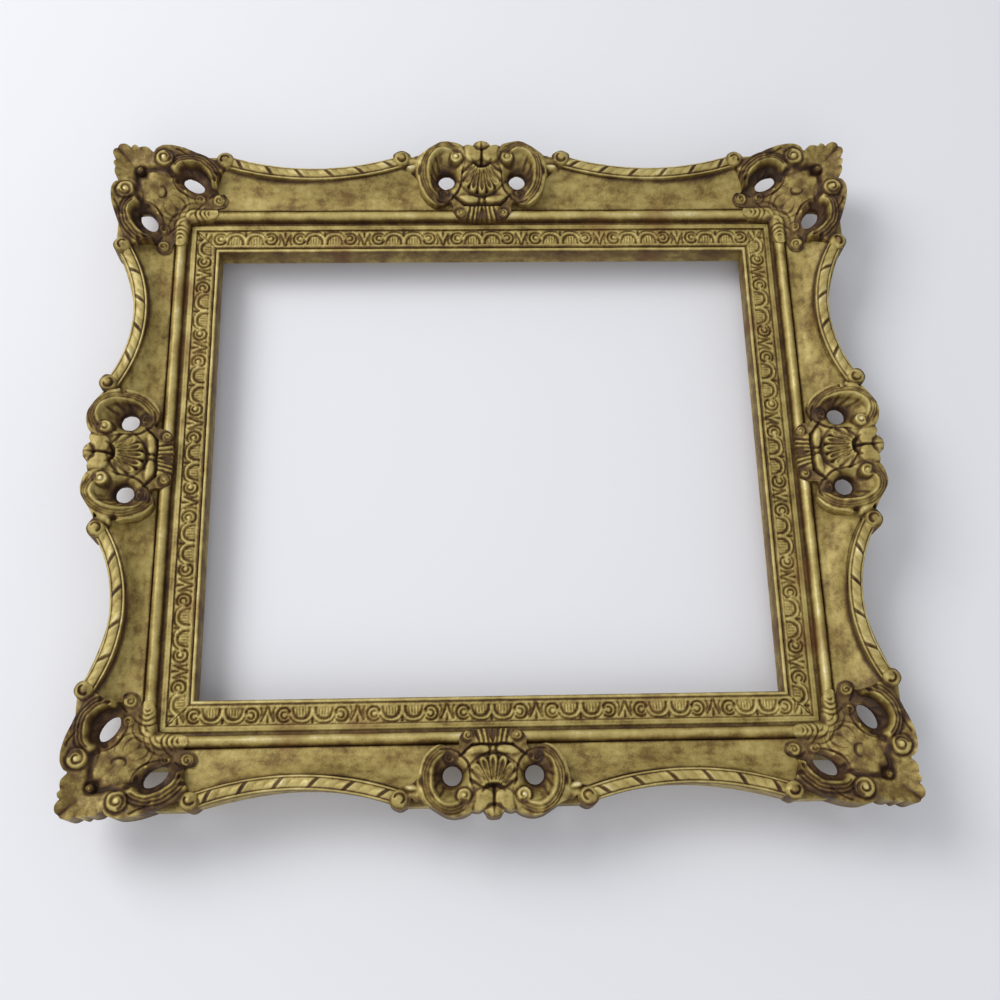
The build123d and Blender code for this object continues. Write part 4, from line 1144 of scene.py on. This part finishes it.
gold = gilding()
wood = back_wood()
brass = plain_metal("dull_brass", (176, 142, 78), 0.42)
steel = plain_metal("dull_steel", (176, 174, 168), 0.4)
for name, piece in list(bpy.data.objects.items()):
    if name.endswith("_carved"):
        dress(piece, [gold])
for piece in rails.values():
    dress(piece, [gold, wood], is_back)
for node, piece in frame["nodes"].items():
    if node.startswith("turn_button") or node == "hanger_screws":
        dress(piece, [brass])
    elif node.startswith(("mitre_nails", "hanger_")):
        dress(piece, [steel])


# ---- Windows of the rails ----

# At the corner or the middle: an oval in the ornament's own plane, and the foot of the cut
window_foot = -3.0
pocket_foot = ornament_foot + 0.1
cut_top = 60.0
# Painted shade: the dark tone that the cutters give to the walls they cut in the windows and pockets
window_painted_shade = -0.75
rail_windows = (
    ("middle", ((21.3, 18.2), (8.4, 10.8), 0.0), window_foot),
    ("corner", ((45.4, 17.6), (11.2, 9.8), 22.0), window_foot),
    ("middle", ((22.0, 18.6), (10.2, 13.6), 0.0), pocket_foot),
    ("corner", ((45.4, 19.4), (12.2, 9.2), 22.0), pocket_foot),
)


def window_cutter(side, sign, place, oval, foot):
    """Upright cutter for one window or blind pocket, on one half of a side."""
    (along, inward), radii, tilt = oval
    x = along if place == "middle" else runs[side].half_sight + moulding_reach - along
    y = (centre_reach if place == "middle" else moulding_reach) - inward
    ring = oval_outline(((sign * x, y), radii, sign * tilt))
    count = len(ring)
    points = np.vstack([np.column_stack([ring, np.full(count, height)]) for height in (foot, cut_top)])
    faces = [tuple(range(count - 1, -1, -1)), tuple(range(count, 2 * count))]
    faces += [(i, (i + 1) % count, count + (i + 1) % count, count + i) for i in range(count)]
    cutter = add_object("window", new_mesh("window", points, faces, np.full(2 * count, window_painted_shade)))
    cutter.matrix_world = side_matrix(side)
    return cutter


def cut_windows(piece, side):
    """Cuts the windows and pockets behind the pierced holes in a rail, whose new walls take the cutters' painted
    shade.
    """
    cutters = [window_cutter(side, sign, *window) for sign in (-1, 1) for window in rail_windows]
    for cutter in cutters:
        modifier = piece.modifiers.new("window", "BOOLEAN")
        modifier.operation = "DIFFERENCE"
        modifier.solver = "MANIFOLD"
        modifier.object = cutter
    graph = bpy.context.evaluated_depsgraph_get()
    mesh = bpy.data.meshes.new_from_object(piece.evaluated_get(graph))
    piece.modifiers.clear()
    piece.data = mesh
    for cutter in cutters:
        bpy.data.objects.remove(cutter)


for side, piece in rails.items():
    cut_windows(piece, side)


# ---- Stage ----

# In metres, apart from half the floor's width, which is in millimetres
floor_half = 3000.0
floor_drop = 0.0002
world_colour = (0.93, 0.96, 1.0, 1.0)
world_strength = 0.55
lamps = (("key", (-1.22, 0.72, 1.5), 1.1, 25.4), ("fill", (-0.2, -1.4, 1.5), 1.6, 9.0))
camera_lens = 46.46
camera_right = (0.99935503, -0.02201783, 0.0283679)
camera_up = (0.01136674, 0.94330923, 0.33172051)
camera_back = (-0.03406346, -0.33118411, 0.94295109)
camera_place = (-0.01763924, -0.26269816, 0.70453995)


def build_stage():
    """Pale floor, world, soft lamps from the upper left, and the camera of the photo."""
    corners = [(sx * floor_half, sy * floor_half, 0) for sx, sy in ((-1, -1), (1, -1), (1, 1), (-1, 1))]
    mesh = new_mesh("floor", corners, [(0, 1, 2, 3)])
    mesh.materials.append(Shading("pale_floor").shade({"Base Color": linear(226, 226, 230), "Roughness": 0.9}))
    floor = add_object("floor", mesh)
    floor.location.z = min(cad_box[0][2], 0.0) - floor_drop

    world = bpy.data.worlds.new("studio")
    bpy.context.scene.world = world
    world.use_nodes = True
    background = world.node_tree.nodes["Background"].inputs
    background["Color"].default_value = world_colour
    background["Strength"].default_value = world_strength

    for name, place, size, power in lamps:
        lamp = bpy.data.lights.new(name, "AREA")
        lamp.size = size
        lamp.energy = power
        holder = add_object(name, lamp)
        holder.location = place
        holder.rotation_euler = (-Vector(place)).to_track_quat("-Z", "Y").to_euler()

    data = bpy.data.cameras.new("camera")
    data.lens = camera_lens
    data.sensor_width = 36.0
    data.clip_start = 0.01
    camera = add_object("camera", data)
    columns = (camera_right, camera_up, camera_back, camera_place)
    camera.matrix_world = Matrix([[column[i] for column in columns] for i in range(3)] + [(0, 0, 0, 1)])
    bpy.context.scene.camera = camera
    bpy.context.scene.view_settings.view_transform = "Standard"


build_stage()
